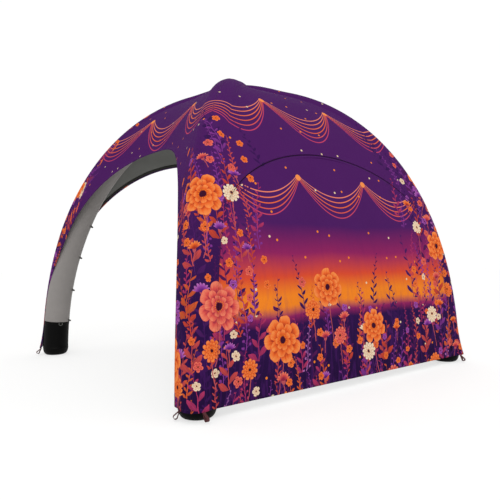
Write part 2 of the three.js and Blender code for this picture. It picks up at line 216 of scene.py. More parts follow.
def wrapLimit(turn):  # how far the cloth reaches round a tube before it meets the other half at the crown
    reach, _, outward, _ = legLine(turn)
    share = reach / (clothRadius * np.hypot(1, outward))
    return np.minimum(wrapAngle, np.arctan(outward) + np.arcsin(np.minimum(1, share)))


# mesh helpers
def makeObject(name, mesh, *materials):
    piece = bpy.data.objects.new(name, mesh)
    scene.collection.objects.link(piece)
    for material in materials:
        mesh.materials.append(material)
    return piece


def mirrored(points):
    return points * (-1.0, 1.0, 1.0)


def turned(points, quarter):
    c, s = round(math.cos(quarter * quarterTurn)), round(math.sin(quarter * quarterTurn))
    return points @ np.array([[c, s, 0], [-s, c, 0], [0, 0, 1]])


class Cloth:  # points, faces and flat coordinates of one piece
    def __init__(self):
        self.points, self.faces, self.tones, self.maps, self.count = [], [], [], {}, 0

    def grid(self, points, flip=False, tone=None, **maps):  # tone: the material of each face
        rows, columns = points.shape[:2]
        index = np.arange(rows * columns).reshape(rows, columns) + self.count
        corners = [index[:-1, :-1], index[:-1, 1:], index[1:, 1:], index[1:, :-1]]
        quads = np.stack(corners, -1).reshape(-1, 4)
        self.faces.append(quads[:, ::-1] if flip else quads)
        self.tones.append(np.zeros(len(quads), int) if tone is None else tone.ravel())
        self.points.append(points.reshape(-1, 3))
        for name, places in maps.items():
            self.maps.setdefault(name, []).append(places.reshape(-1, 2))
        self.count += rows * columns

    def tube(self, rings, flats, closed=False):  # rings swept along a path
        self.grid(rings, sleeve=flats)
        for row, flip in () if closed else ((0, True), (-1, False)):
            middle = np.broadcast_to(rings[row, :-1].mean(0), rings[row].shape)
            self.grid(np.stack([rings[row], middle]), flip=flip, sleeve=np.stack([flats[row], flats[row]]))

    def piece(self, name, quarter, *materials):
        points = turned(np.concatenate(self.points), quarter)
        _, first, slot = np.unique(np.round(points, 6), axis=0, return_index=True, return_inverse=True)
        faces, corners, tones = [], [], []
        for quad, tone in zip(np.concatenate(self.faces), np.concatenate(self.tones)):
            keep = [i for k, i in enumerate(quad) if slot[i] != slot[quad[k - 1]]]
            if len(keep) > 2:
                faces.append([int(slot[i]) for i in keep])
                corners.extend(keep)
                tones.append(int(tone))
        mesh = bpy.data.meshes.new(name)
        mesh.from_pydata(points[first], [], faces)
        for mapName, places in self.maps.items():
            layer = mesh.uv_layers.new(name=mapName)
            layer.data.foreach_set("uv", np.concatenate(places)[corners].astype(np.float32).ravel())
        mesh.polygons.foreach_set("material_index", np.array(tones, np.int32))
        mesh.polygons.foreach_set("use_smooth", np.ones(len(mesh.polygons), bool))
        mesh.update()
        return makeObject(name, mesh, *materials)


def thicken(piece, thickness, inner=0):
    solid = piece.modifiers.new("thickness", "SOLIDIFY")
    solid.thickness = thickness
    solid.offset = -1.0
    solid.use_even_offset = True
    solid.material_offset = inner


def settle(piece, slotName, *nodes):
    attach(piece, "root")
    if nodes:
        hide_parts(*nodes)


# node helpers
def operators(operation):  # for a wire before and after its sign
    def before(wire, other):
        return calc(operation, wire, other)

    def after(wire, other):
        return calc(operation, other, wire)

    return before, after


class Wire:  # a node's output; sums of wires add nodes to its tree
    __add__, __radd__ = operators("ADD")
    __sub__, __rsub__ = operators("SUBTRACT")
    __mul__, __rmul__ = operators("MULTIPLY")
    __truediv__, __rtruediv__ = operators("DIVIDE")
    __pow__, __rpow__ = operators("POWER")
    __gt__, __lt__ = operators("GREATER_THAN")

    def __init__(self, socket):
        self.socket = socket
        self.tree = socket.id_data

    def __abs__(self):
        return calc("ABSOLUTE", self)


def feed(node, inputs):
    for key, value in inputs.items():
        if isinstance(value, Wire):
            value.tree.links.new(value.socket, node.inputs[key])
        else:
            node.inputs[key].default_value = value


def addNode(kind, inputs, tree=None, **settings):  # by default in the tree of its first wire
    tree = tree or next(value.tree for value in inputs.values() if isinstance(value, Wire))
    node = tree.nodes.new(kind)
    for name, value in settings.items():
        setattr(node, name, value)
    feed(node, inputs)
    return [Wire(socket) for socket in node.outputs]


def calc(operation, *values, clamp=False):
    return addNode("ShaderNodeMath", dict(enumerate(values)), operation=operation, use_clamp=clamp)[0]


def fract(value):
    return calc("FRACT", value)


def hypot(x, y):
    return calc("SQRT", x * x + y * y)


def between(value, low, high):
    return (value > low) * (value < high)


def mix(share, first, second):  # of two colours
    return addNode("ShaderNodeMix", {0: share, 6: first, 7: second}, data_type="RGBA")[2]


def blend(share, first, second):  # of two numbers
    return addNode("ShaderNodeMix", {0: share, 2: first, 3: second}, data_type="FLOAT")[0]


def rise(value, low, high, start=0.0, end=1.0):  # goes smoothly from start to end
    inputs = dict(enumerate((value, low, high, start, end)))
    return addNode("ShaderNodeMapRange", inputs, interpolation_type="SMOOTHSTEP")[0]


def soft(value, edge, blur):  # 1 where value is under edge, with a soft border
    return rise(value, edge - blur, edge + blur, 1.0, 0.0)


def ramp(value, stops, mode="LINEAR"):
    colour = addNode("ShaderNodeValToRGB", {0: value})[0]
    scale = colour.socket.node.color_ramp
    scale.interpolation = mode
    while len(scale.elements) < len(stops):
        scale.elements.new(0.5)
    for element, (place, ink) in zip(scale.elements, stops):
        element.position = place
        element.color = ink
    return colour


def split(vector):
    return addNode("ShaderNodeSeparateXYZ", {0: vector})


def join(*values):
    return addNode("ShaderNodeCombineXYZ", dict(enumerate(values)))[0]


def noise(place, scale, detail):
    return addNode("ShaderNodeTexNoise", {"Vector": place, "Scale": scale, "Detail": detail})[0]


def byName(wires):
    return Named((wire.socket.name, wire) for wire in wires)


def makeGroup(name, inputs, draw):  # place is a vector, other inputs are numbers; draw gives the outputs
    tree = bpy.data.node_groups.new(name, "ShaderNodeTree")
    for socket in inputs.split():
        kind = "NodeSocketVector" if socket == "place" else "NodeSocketFloat"
        tree.interface.new_socket(socket, in_out="INPUT", socket_type=kind)
    made = draw(byName(addNode("NodeGroupInput", {}, tree)))
    for socket in made:
        tree.interface.new_socket(socket, in_out="OUTPUT", socket_type="NodeSocketFloat")
    addNode("NodeGroupOutput", made)
    return tree


def useGroup(tree, **values):
    return byName(addNode("ShaderNodeGroup", values, node_tree=tree))


def linear(red, green, blue):  # a colour picked as on a screen, 0 to 255
    shares = np.array([red, green, blue]) / 255
    return (*np.where(shares <= 0.04045, shares / 12.92, ((shares + 0.055) / 1.055) ** 2.4).tolist(), 1.0)


# the print: motifs scattered in half-drop cells over the flat cut
flatRail = Named(height=3.0, width=1.6, ridge=0.14, steps=10)
railSteps = np.linspace(0, 1, flatRail.steps + 1)
railShares = np.interp(railSteps * flatRail.height, railDeveloped, -railLine[:, 0]) / flatRail.width
railStops = [(float(step), (*[float(share)] * 3, 1.0)) for step, share in zip(railSteps, railShares)]
backShift = 40.0  # keeps the back's print apart from the front's
scatter = Named(near=0.22, far=0.72, backClimb=0.65, shuffle=37.0)
cellSockets = "place cell tall stray seed full none climb share over "
shapeSockets = {"sprig": "length leaf pairs round", "fan": "radius", "rosette": "radius petals lift"}


def fromRidge(across, up):  # how far in from the leg's ridge a place on the cut is
    edge = ramp(up / flatRail.height, railStops) * flatRail.width
    return edge - across + flatRail.ridge


def scatterCell(given):  # local place, two random numbers and whether a motif grows here
    x, y, _ = split(given.place)
    tall = given.cell * given.tall
    x = x / given.cell
    column = calc("FLOOR", x)
    drop = calc("PINGPONG", column, 1.0) * 0.5
    y = y / tall + drop
    row = calc("FLOOR", y)
    cell = join(column, row, given.seed)
    fourth, colour = addNode("ShaderNodeTexWhiteNoise", {"Vector": cell}, noise_dimensions="3D")
    first, second, third = split(colour)
    middleX = column + 0.5 + (first - 0.5) * given.stray
    middleY = row + 0.5 + (second - 0.5) * given.stray
    up = (middleY - drop) * tall
    across = calc("WRAP", middleX * given.cell, backShift / 2, -backShift / 2)
    beside = fromRidge(abs(across), up)
    higher = (middleX * given.cell > backShift / 2) * scatter.backClimb
    climb = rise(abs(beside), scatter.near, scatter.far, 1.0, 0.0) * (given.climb + higher)
    density = rise(up, given.full + climb, given.none + climb, 1.0, 0.0)
    grows = density * given.share * (up > given.over)
    there = fract(fourth * scatter.shuffle) < grows
    return (x - middleX) * given.cell, (y - middleY) * tall, third, fourth, there


def petalFold(turns, power):  # 0 along a petal's middle, 1 between two petals
    return (abs(fract(turns) - 0.5) * 2) ** power


rosette = Named(
    rings=((1.0, 0.496, 0.0), (0.72, 0.40, 0.5), (0.44, 0.24, 0.0)), least=0.72, power=3.2, notch=0.30,
    blur=0.0014, deep=0.12, pale=0.95, foldShade=0.45, line=0.0018, lineBlur=0.0012, lineShade=0.6,
    streakTurns=9.0, streakReach=14.0, streak=0.9, heart=0.15, seedRing=0.20, seedSize=0.025, seeds=15.0,
    seedShare=0.1, sway=1.6, stalk=0.0034, leastLift=0.001, fine=0.001, shuffle=13.0,
)


def drawRosette(given):  # an open blossom of three rings of petals
    x, y, spin, choice, there = scatterCell(given)
    y = y - given.lift
    distance = hypot(x, y)
    angle = calc("ARCTAN2", y, x) + spin * fullTurn
    petalTurn = angle * (given.petals / fullTurn)
    size = given.radius * (rosette.least + choice * (1 - rosette.least))
    grain = join(angle * rosette.streakTurns, distance * rosette.streakReach, given.seed)
    streak = noise(grain, 1.0, 3.0) - 0.5
    mask = shade = None
    for far, near, phase in rosette.rings:
        fold = petalFold(petalTurn + phase, rosette.power)
        edge = size * far * (1 - fold * rosette.notch)
        inside = soft(distance, edge, rosette.blur)
        tone = rise(distance / edge, near, 1.0, rosette.deep, rosette.pale)
        tone = tone * (1 - fold * rosette.foldShade)
        line = soft(abs(distance - edge), rosette.line, rosette.lineBlur)
        tone = tone * (1 - line * rosette.lineShade)
        mask = mask or inside
        shade = blend(inside, shade, tone) if shade else tone
    made = {"mask": mask * there}
    made["shade"] = calc("ADD", shade, streak * rosette.streak, clamp=True)
    made["heart"] = soft(distance, size * rosette.heart, rosette.blur) * there
    ring = soft(abs(distance - size * rosette.seedRing), size * rosette.seedSize, rosette.fine)
    dots = calc("COSINE", angle * rosette.seeds) > rosette.seedShare
    made["seeds"] = ring * dots * there
    sway = (spin - 0.5) * rosette.sway * y * (y + given.lift)
    stalk = soft(abs(x + sway), rosette.stalk, rosette.fine) * (y < 0.0)
    made["stalk"] = stalk * (given.lift > rosette.leastLift) * there
    made["choice"] = fract(choice * rosette.shuffle)
    return made


fan = Named(
    least=0.7, lift=0.3, lean=0.5, petals=2.6, reach=1.2, notch=0.34, opened=1.2, openBlur=0.03,
    blur=0.0014, near=0.2, deep=0.05, pale=0.95, foldShade=0.4, cupWidth=0.3, cupHeight=0.42,
    cupBlur=0.004, drop=-2.1, stalk=0.0032, fine=0.001, shuffle=29.0,
)


def drawFan(given):  # a blossom seen from its side, on a stalk
    x, y, lean, choice, there = scatterCell(given)
    size = given.radius * (fan.least + choice * (1 - fan.least))
    y = y - size * fan.lift
    x = x + y * ((lean - 0.5) * fan.lean)
    distance = hypot(x, y)
    angle = calc("ARCTAN2", x, y)
    fold = petalFold(angle * fan.petals + 0.5, 2.0)
    edge = size * (fan.reach - fold * fan.notch)
    opened = soft(abs(angle), fan.opened, fan.openBlur)
    made = {"mask": soft(distance, edge, fan.blur) * opened * there}
    tone = rise(distance / edge, fan.near, 1.0, fan.deep, fan.pale)
    made["shade"] = tone * (1 - fold * fan.foldShade)
    cup = soft(hypot(x / fan.cupWidth, y / fan.cupHeight), size, fan.cupBlur)
    stalk = soft(abs(x), fan.stalk, fan.fine) * between(y, size * fan.drop, 0.0)
    made["stalk"] = calc("MAXIMUM", cup, stalk) * there
    made["choice"] = fract(choice * fan.shuffle)
    return made


sprig = Named(
    lean=0.36, curl=0.34, curlShuffle=7.0, straight=0.4, stem=0.0012, stemFoot=0.0022, stemBlur=0.0009,
    start=0.3, foot=1.2, taper=0.9, cosine=0.72, sine=0.69, width=0.34, blur=0.0012, rib=0.0011,
    ribBlur=0.0008, twig=1.4, berry=0.42, tone=0.35, tipTone=0.3, ribTone=0.45, stemTone=0.75,
    shuffle=17.0,
)


def drawSprig(given):  # a stem with leaves, or with berries where round is 1
    x, y, lean, choice, there = scatterCell(given)
    up = y / given.length + 0.5  # 0 at the foot of the sprig, 1 at its tip
    x = x + y * ((lean - 0.5) * sprig.lean)
    curl = (fract(choice * sprig.curlShuffle) - 0.5) * sprig.curl * given.length
    x = x + curl * (up * up - sprig.straight)
    inside = between(up, 0.0, 1.0)
    side = abs(x)
    stem = soft(side, sprig.stem + (1 - up) * sprig.stemFoot, sprig.stemBlur)
    period = given.length / given.pairs
    other = (x > 0.0) * 0.5  # leaves stand by turns on the two sides
    step = (fract(y / period + other) - sprig.start) * period
    half = given.leaf * (sprig.foot - up * sprig.taper)
    along = side * sprig.cosine + step * sprig.sine
    across = step * sprig.cosine - side * sprig.sine
    place = along / half - 1  # -1 at the root of a leaf, 1 at its tip
    width = half * sprig.width * (1 - place * place)
    leaf = soft(abs(across), width, sprig.blur) * between(place, -1.0, 1.0)
    rib = soft(abs(across), sprig.rib, sprig.ribBlur)
    berry = soft(hypot(along - half * sprig.twig, across), half * sprig.berry, sprig.blur)
    twig = rib * between(along, 0.0, half * sprig.twig)
    grown = blend(given.round, leaf, calc("MAXIMUM", berry, twig))
    made = {"mask": calc("MAXIMUM", stem, grown) * inside * there}
    tone = sprig.tone + place * sprig.tipTone + rib * sprig.ribTone
    made["shade"] = calc("MAXIMUM", tone, stem * sprig.stemTone, clamp=True)
    made["choice"] = fract(choice * sprig.shuffle)
    return made


swag = Named(closest=0.011, blur=0.0012, knot=0.026, knotDrop=0.005, knotBlur=0.0015)


def drawSwag(given):  # hung lines that meet at a knot
    x, y, _ = split(given.place)
    swing = fract(x / given.width + 0.5) - 0.5
    bow = 1 - swing * swing * 4
    down = given.top - y
    spacing = swag.closest + bow * given.gap
    level = (down - bow * given.drop) / spacing
    slope = swing * 8 * (given.drop + level * given.gap) / given.width
    off = abs(level - calc("ROUND", level)) * spacing / hypot(slope, 1.0)
    line = soft(off, given.line * (0.5 + bow * 0.5), swag.blur)
    made = {"mask": line * between(level, -0.5, given.lines - 0.5), "level": level / given.lines}
    fromKnot = hypot((0.5 - abs(swing)) * given.width, down - given.lines * swag.knotDrop)
    made["knot"] = soft(fromKnot, swag.knot, swag.knotBlur)
    return made


thread = Named(height=0.5, slub=0.6, slubScale=9.0, toneScale=2.3)


def drawWeave(given):
    x, y, _ = split(given.place)
    turns = fullTurn / given.pitch
    woven = calc("SINE", x * turns) * calc("SINE", y * turns) * thread.height
    made = {"height": woven + noise(given.place, thread.slubScale, 3.0) * thread.slub}
    made["tone"] = noise(given.place, thread.toneScale, 4.0) - 0.5
    return made


motifPrints = {
    kind: makeGroup(kind + "Print", cellSockets + shapeSockets[kind], draw)
    for kind, draw in (("rosette", drawRosette), ("fan", drawFan), ("sprig", drawSprig))
}
swagPrint = makeGroup("swagPrint", "place width top drop gap line lines", drawSwag)
weave = makeGroup("weave", "place pitch", drawWeave)

# materials
inkTones = {
    "plum": (78, 30, 98), "violet": (66, 26, 92), "indigo": (46, 20, 74), "night": (36, 15, 56),
    "magenta": (146, 38, 96), "ember": (222, 78, 50), "amber": (248, 136, 38), "rose": (196, 60, 108),
    "orange": (240, 104, 44), "orangeTip": (254, 150, 80), "orangeDeep": (158, 40, 34),
    "cream": (238, 208, 170), "creamTip": (253, 238, 212), "creamDeep": (186, 118, 110),
    "coral": (224, 84, 78), "coralTip": (248, 138, 106), "coralDeep": (138, 30, 68),
    "orchid": (146, 62, 158), "orchidTip": (196, 116, 192), "orchidDeep": (76, 28, 108),
    "heart": (64, 20, 44), "stalk": (190, 84, 92), "leafDark": (96, 30, 92), "leafDusk": (84, 34, 104),
}
inks = Named((name, linear(*tone)) for name, tone in inkTones.items())


def stops(*pairs):
    return [(place, inks[name]) for place, name in pairs]


grounds = {
    "plain": stops((0.0, "night"), (0.22, "indigo"), (0.5, "plum"), (1.0, "plum")),
    "glowing": stops((0.0, "night"), (0.165, "indigo"), (0.184, "magenta"), (0.206, "amber"),
                     (0.228, "amber"), (0.268, "ember"), (0.318, "magenta"), (0.385, "plum")),
}
leafInks = {
    "warm": stops((0.0, "coral"), (0.22, "rose"), (0.45, "orange"), (0.68, "ember"), (0.86, "orchid")),
    "cool": stops((0.0, "orchid"), (0.4, "rose"), (0.6, "leafDark"), (0.8, "orchidTip")),
    "shadow": stops((0.0, "violet"), (0.4, "leafDark"), (0.7, "leafDusk")),
}
lineInks = stops((0.0, "coralTip"), (0.45, "orange"), (0.9, "rose"))
petalInks = ("orange", "cream", "coral", "orchid")
leafShade = 0.55
meadow = [  # kind, cell sockets, shape sockets and inks, from the back of the print to its front
    ("sprig", (0.30, 2.0, 0.12, 2, 0.60, 1.05, 1.25, 1.0, -1), (0.56, 0.050, 4, 0), "shadow"),
    ("sprig", (0.21, 2.0, 0.12, 5, 0.55, 0.98, 1.35, 1.0, -1), (0.40, 0.030, 6, 0), "shadow"),
    ("sprig", (0.19, 2.2, 0.10, 8, 0.42, 0.90, 1.35, 0.8, -1), (0.40, 0.022, 9, 1), "cool"),
    ("sprig", (0.23, 1.7, 0.10, 3, 0.36, 0.82, 1.30, 0.75, -1), (0.37, 0.036, 5, 0), "warm"),
    ("sprig", (0.17, 1.9, 0.10, 17, 0.30, 0.74, 1.35, 0.7, -1), (0.31, 0.021, 7, 0), "warm"),
    ("sprig", (0.26, 1.25, 0.10, 23, 0.10, 0.46, 1.10, 0.85, -1), (0.31, 0.058, 3, 0), "warm"),
    ("fan", (0.21, 1.25, 0.16, 13, 0.34, 0.80, 1.25, 0.55, -1), (0.058,), (0.0, 0.34, 0.42, 0.70)),
    ("rosette", (0.15, 1.0, 0.30, 7, 0.34, 0.92, 1.45, 0.62, -1), (0.036, 5, 0), (0.0, 0.50, 0.60, 0.80)),
    ("rosette", (0.29, 1.4, 0.18, 29, 0.30, 0.74, 1.25, 0.55, -1), (0.08, 11, 0.05), (0.0, 0.4, 0.7, 0.92)),
    ("rosette", (0.5, 1.35, 0.16, 11, 0.42, 0.86, 1.15, 0.75, 0.24), (0.17, 7, 0.07), (0, 0.86, 0.92, 0.995)),
]
swags = {
    "canopy": {"width": 0.74, "top": 2.47, "drop": 0.22, "gap": 0.040, "line": 0.0046, "lines": 6},
    "wall": {"width": 0.74, "top": 1.64, "drop": 0.17, "gap": 0.032, "line": 0.0042, "lines": 5},
}
confetti = Named(scale=5.4, size=0.050, blur=0.006, share=0.42, amberShare=0.65)
brush = Named(across=30.0, up=5.0, low=0.48, high=0.62, foot=0.2, head=0.8, footShare=0.75, headShare=0.06)
handShake = ((9.0, 0.034), (46.0, 0.009))  # scale and size
clothFinish = Named(brightness=0.72, bump=0.35, mottle=14.0, mottleDark=0.88)
printCloth = Named(roughness=0.75, specular=0.02, pitch=0.0016, depth=0.0005, uneven=0.1)
dusk = Named(waveScale=1.1, wave=0.14, height=3.2, near=0.15, far=0.33)


def newMaterial(name, roughness, specular):
    material = bpy.data.materials.new(name)
    material.use_nodes = True
    shader = material.node_tree.nodes["Principled BSDF"]
    feed(shader, {"Roughness": roughness, "Specular IOR Level": specular})
    return material, shader


def finishCloth(shader, place, colour, pitch, depth, uneven):  # weave bump and faint uneven tone
    woven = useGroup(weave, place=place, pitch=pitch)
    value = clothFinish.brightness + woven.tone * uneven
    toned = addNode("ShaderNodeHueSaturation", {"Color": colour, "Value": value})[0]
    inputs = {"Strength": clothFinish.bump, "Distance": depth, "Height": woven.height}
    bump = addNode("ShaderNodeBump", inputs)[0]
    feed(shader, {"Base Color": toned, "Normal": bump})


def layMotif(colour, place, kind, cells, shape, choice):
    sockets = (cellSockets + shapeSockets[kind]).split()
    drawn = useGroup(motifPrints[kind], **dict(zip(sockets, (place, *cells, *shape))))
    if kind == "sprig":
        ink = ramp(drawn.choice, leafInks[choice], "CONSTANT")
        deep = mix(leafShade, ink, inks.night)
        return mix(drawn.mask, colour, mix(drawn.shade, deep, ink))
    inkNames = ([name + part for name in petalInks] for part in ("Deep", "", "Tip"))
    deep, ink, tip = (ramp(drawn.choice, stops(*zip(choice, names)), "CONSTANT") for names in inkNames)
    colour = mix(drawn.stalk, colour, inks.stalk)
    petal = mix(calc("MULTIPLY", drawn.shade, 2.0, clamp=True), deep, ink)
    petal = mix(calc("MULTIPLY_ADD", drawn.shade, 2.0, -1.0, clamp=True), petal, tip)
    colour = mix(drawn.mask, colour, petal)
    if kind == "rosette":
        colour = mix(drawn.heart, colour, inks.heart)
        colour = mix(drawn.seeds, colour, inks.amber)
    return colour


def loosen(place):  # drawn by hand: no line is quite true
    for scale, size in handShake:
        shift = addNode("ShaderNodeTexNoise", {"Vector": place, "Scale": scale})[1]
        inputs = {0: shift, 1: (size, size, 0.0), 2: place}
        place = addNode("ShaderNodeVectorMath", inputs, operation="MULTIPLY_ADD")[0]
    return place


def layPrint(ground, panel, place, lines):  # lays the print over its ground, one screen after another
    x, y, _ = split(place)
    strokes = noise(join(x * brush.across, y * brush.up), 1.0, 5.0)
    low = rise(split(panel)[1], brush.foot, brush.head, brush.footShare, brush.headShare)
    ground = mix(rise(strokes, brush.low, brush.high) * low, ground, inks.violet)
    hung = useGroup(swagPrint, place=panel, **lines)
    colour = mix(hung.mask, ground, ramp(hung.level, lineInks))
    colour = mix(hung.knot, colour, inks.orangeTip)
    inputs = {"Vector": place, "Scale": confetti.scale}
    distance, chance = addNode("ShaderNodeTexVoronoi", inputs, voronoi_dimensions="2D")[:2]
    first, second, _ = split(chance)
    speck = soft(distance, confetti.size, confetti.blur) * (second < confetti.share)
    colour = mix(speck, colour, mix(first > confetti.amberShare, inks.amber, inks.cream))
    place = loosen(place)
    for motif in meadow:
        colour = layMotif(colour, place, *motif)
    return colour


def flatPlace(material, mapName):
    return addNode("ShaderNodeUVMap", {}, material.node_tree, uv_map=mapName)[0]


def makePrint(name, lines, glow):  # glow: whether the ground glows all over, beside the wall or not at all
    material, shader = newMaterial(name, printCloth.roughness, printCloth.specular)
    panel, place = flatPlace(material, "panel"), flatPlace(material, "print")
    across, up, _ = split(panel)
    wave = (noise(place, dusk.waveScale, 3.0) - 0.5) * dusk.wave
    level = (up + wave) / dusk.height
    ground = ramp(level, grounds["glowing" if glow == "all" else "plain"])
    if glow == "beside":
        inside = rise(fromRidge(across, up), dusk.near, dusk.far)
        ground = mix(inside, ground, ramp(level, grounds["glowing"]))
    colour = layPrint(ground, panel, place, lines)
    finishCloth(shader, panel, colour, printCloth.pitch, printCloth.depth, printCloth.uneven)
    return material


def makePlainCloth(name, tone, roughness, pitch, depth, flatMap, specular, uneven=0.16):
    material, shader = newMaterial(name, roughness, specular)
    if flatMap:
        place = flatPlace(material, flatMap)
    else:
        place = byName(addNode("ShaderNodeTexCoord", {}, material.node_tree)).Object
    colour = linear(*tone)
    dark = (*[value * clothFinish.mottleDark for value in colour[:3]], 1.0)
    tint = mix(noise(place, clothFinish.mottle, 4.0), colour, dark)
    finishCloth(shader, place, tint, pitch, depth, uneven)
    return material


plainCloths = {  # colour, roughness, thread pitch, weave depth, flat map, specular, unevenness
    "liningCloth": ((140, 141, 137), 0.75, 0.0016, 0.0005, "panel", 0.1),
    "tubeCloth": ((158, 153, 150), 0.6, 0.0018, 0.0006, "sleeve", 0.15),
    "bootCloth": ((11, 11, 11), 0.5, 0.003, 0.0007, "sleeve", 0.05),
    "zipCloth": ((38, 18, 50), 0.7, 0.0014, 0.0005, None, 0.1),
    "zipCoil": ((34, 17, 44), 0.5, 0.002, 0.0002, None, 0.1),
    "tapeCloth": ((64, 64, 61), 0.75, 0.0014, 0.0005, None, 0.1),
    "pegWebbing": ((92, 44, 48), 0.75, 0.002, 0.0008, "sleeve", 0.3),
    "tabWebbing": ((92, 90, 88), 0.75, 0.002, 0.0008, "sleeve", 0.3),
    "bootWebbing": ((18, 18, 17), 0.7, 0.002, 0.0008, "sleeve", 0.3),
    "printThread": ((70, 30, 88), 0.5, 0.001, 0.0002, None, 0.3),
    "greyThread": ((126, 122, 120), 0.5, 0.001, 0.0002, None, 0.3),
    "darkThread": ((34, 33, 32), 0.5, 0.001, 0.0002, None, 0.3),
    "ringPlastic": ((120, 120, 116), 0.35, 0.004, 0.0001, None, 0.3, 0.06),
}
canopyPrint = makePrint("canopyPrint", swags["canopy"], "none")
frontPrint = makePrint("frontPrint", swags["canopy"], "beside")
wallPrint = makePrint("wallPrint", swags["wall"], "all")
plain = Named((name, makePlainCloth(name, *row)) for name, row in plainCloths.items())
print("materials made:", len(bpy.data.materials))

# beads along a line: stitches and zip coils
beadSockets = {"line": "Geometry", "pitch": "Float", "length": "Float", "width": "Float", "height": "Float",
               "finish": "Material"}
stitch = {"pitch": 0.009, "length": 0.0062, "width": 0.0013, "height": 0.0009}
coil = {"pitch": 0.0032, "length": 0.0019, "width": 0.0062, "height": 0.0018}
stitchLift = 0.0002


def makeBeadTree():
    tree = bpy.data.node_groups.new("beadRow", "GeometryNodeTree")
    for name, kind in beadSockets.items():
        tree.interface.new_socket(name, in_out="INPUT", socket_type="NodeSocket" + kind)
    tree.interface.new_socket("beads", in_out="OUTPUT", socket_type="NodeSocketGeometry")
    given = byName(addNode("NodeGroupInput", {}, tree))
    curve = addNode("GeometryNodeMeshToCurve", {"Mesh": given.line})[0]
    spaced = addNode("GeometryNodeResampleCurve", {"Curve": curve, "Length": given.pitch}, mode="LENGTH")[0]
    attribute = {"Name": "outward"}
    outward = addNode("GeometryNodeInputNamedAttribute", attribute, tree, data_type="FLOAT_VECTOR")[0]
    tangent = addNode("GeometryNodeInputTangent", {}, tree)[0]
    ahead = addNode("FunctionNodeAlignRotationToVector", {"Vector": tangent}, axis="X")[0]
    inputs = {"Rotation": ahead, "Vector": outward}
    upright = addNode("FunctionNodeAlignRotationToVector", inputs, axis="Z", pivot_axis="X")[0]
    bead = addNode("GeometryNodeMeshIcoSphere", {"Radius": 0.5, "Subdivisions": 1}, tree)[0]
    scale = join(given.length, given.width, given.height)
    inputs = {"Points": spaced, "Instance": bead, "Rotation": upright, "Scale": scale}
    placed = addNode("GeometryNodeInstanceOnPoints", inputs)[0]
    smooth = addNode("GeometryNodeSetShadeSmooth", {"Geometry": placed})[0]
    real = addNode("GeometryNodeRealizeInstances", {"Geometry": smooth})[0]
    painted = addNode("GeometryNodeSetMaterial", {"Geometry": real, "Material": given.finish})[0]
    addNode("NodeGroupOutput", {0: painted})
    return tree


beadTree = makeBeadTree()


def makeBeads(name, lines, row, material, quarter, slotName):  # lines: points, and ways out of the cloth
    points, away = (turned(np.concatenate(part), quarter) for part in zip(*lines))
    ends = np.cumsum([len(line) for line, _ in lines])
    edges = [(i, i + 1) for i in range(ends[-1] - 1) if i + 1 not in ends]
    mesh = bpy.data.meshes.new(name + "Lines")
    mesh.from_pydata(points, edges, [])
    outward = mesh.attributes.new("outward", "FLOAT_VECTOR", "POINT")
    outward.data.foreach_set("vector", away.astype(np.float32).ravel())
    piece = makeObject(name, mesh)
    modifier = piece.modifiers.new("beads", "NODES")
    modifier.node_group = beadTree
    sockets = {item.name: item.identifier for item in beadTree.interface.items_tree}
    for key, value in {**row, "finish": material}.items():
        modifier[sockets[key]] = value
    made = bpy.data.meshes.new_from_object(piece.evaluated_get(bpy.context.evaluated_depsgraph_get()))
    piece.modifiers.clear()
    piece.data = made
    bpy.data.meshes.remove(mesh)
    settle(piece, slotName)
    return piece


def bothHalves(left, right):
    return left + [(mirrored(points), mirrored(away)) for points, away in right]


# canopy panels
panelCut = Named(
    hem=0.021, fold=0.0015, foldLift=0.0007, seam=0.0075, seamSlope=1.18, seamLift=0.0009, cloth=0.0016,
    rimHem=0.018, rimShare=0.7, rimSlope=0.9, firstColumn=0.12, hemRows=10, legRows=84, crownRows=18,
    wrapColumns=12, spanColumns=20, stitchIn=0.0045, hemStitch=0.017, hemStitchFrom=0.08, rimStitch=0.014,
    hemSteps=30, rimProbe=0.25,
)
rimCurve = Named(points=900, crowding=3, joining=30.0, split=0.5, least=0.001)
turnedBack = Named(low=0.56, high=1.16, keep=0.50)  # the left panel's free edge on the back left leg
hemHeights = hemHeight + np.array([0.0, panelCut.hem, panelCut.hem + panelCut.fold])
hemStitchHeight = hemHeight + panelCut.hemStitch
stations = np.concatenate([
    turnAtHeight(hemHeights),
    turnAtHeight(np.linspace(hemHeights[-1], bootHeight, panelCut.hemRows + 1)[1:]),
    np.linspace(bootTurn, crossTurn, panelCut.legRows + 1)[1:],
])
stationRail = rail(stations)
hemRise = np.where(np.arange(len(stations)) < 2, panelCut.foldLift, 0.0)  # the folded hem stands proud
crownShares = 1 - np.arange(1, panelCut.crownRows + 1) / panelCut.crownRows
crownTurns = solveRising(wrapLimit, wrapAngle * crownShares, 0, crossTurn)
wrapWidth = wrapAngle * clothRadius
seamShares = np.array([0.0, 1.0, panelCut.seamSlope]) * panelCut.seam / wrapWidth
evenShares = np.linspace(panelCut.firstColumn, 1, panelCut.wrapColumns - 2)
wrapShares = np.concatenate([seamShares, evenShares])
seamRise = np.where(np.arange(len(wrapShares)) < 2, panelCut.seamLift, 0.0)
crownTip = (0.0, 0.0, tent.crownHeight + tent.peakRise + clothRadius)


def layFlat(turns, distance):  # places on the flat cut, at a distance from the rail and away from the panel
    line = rail(turns)
    step = rail(turns - 1e-3) - line
    step = unit(stack(step[:, 0], np.hypot(step[:, 1], step[:, 2])))
    flat = stack(line[:, 0], clothHeight(line[:, 2]))
    past = turns < crossTurn
    further = np.linalg.norm(line[past] - rail(crossTurn), axis=1)
    flat[past] = np.array([0.0, clothHeight(crossHeight)]) + further[:, None] * step[past]
    aside = stack(-step[:, 1], step[:, 0])
    return flat[:, None] + aside[:, None] * distance[..., None]


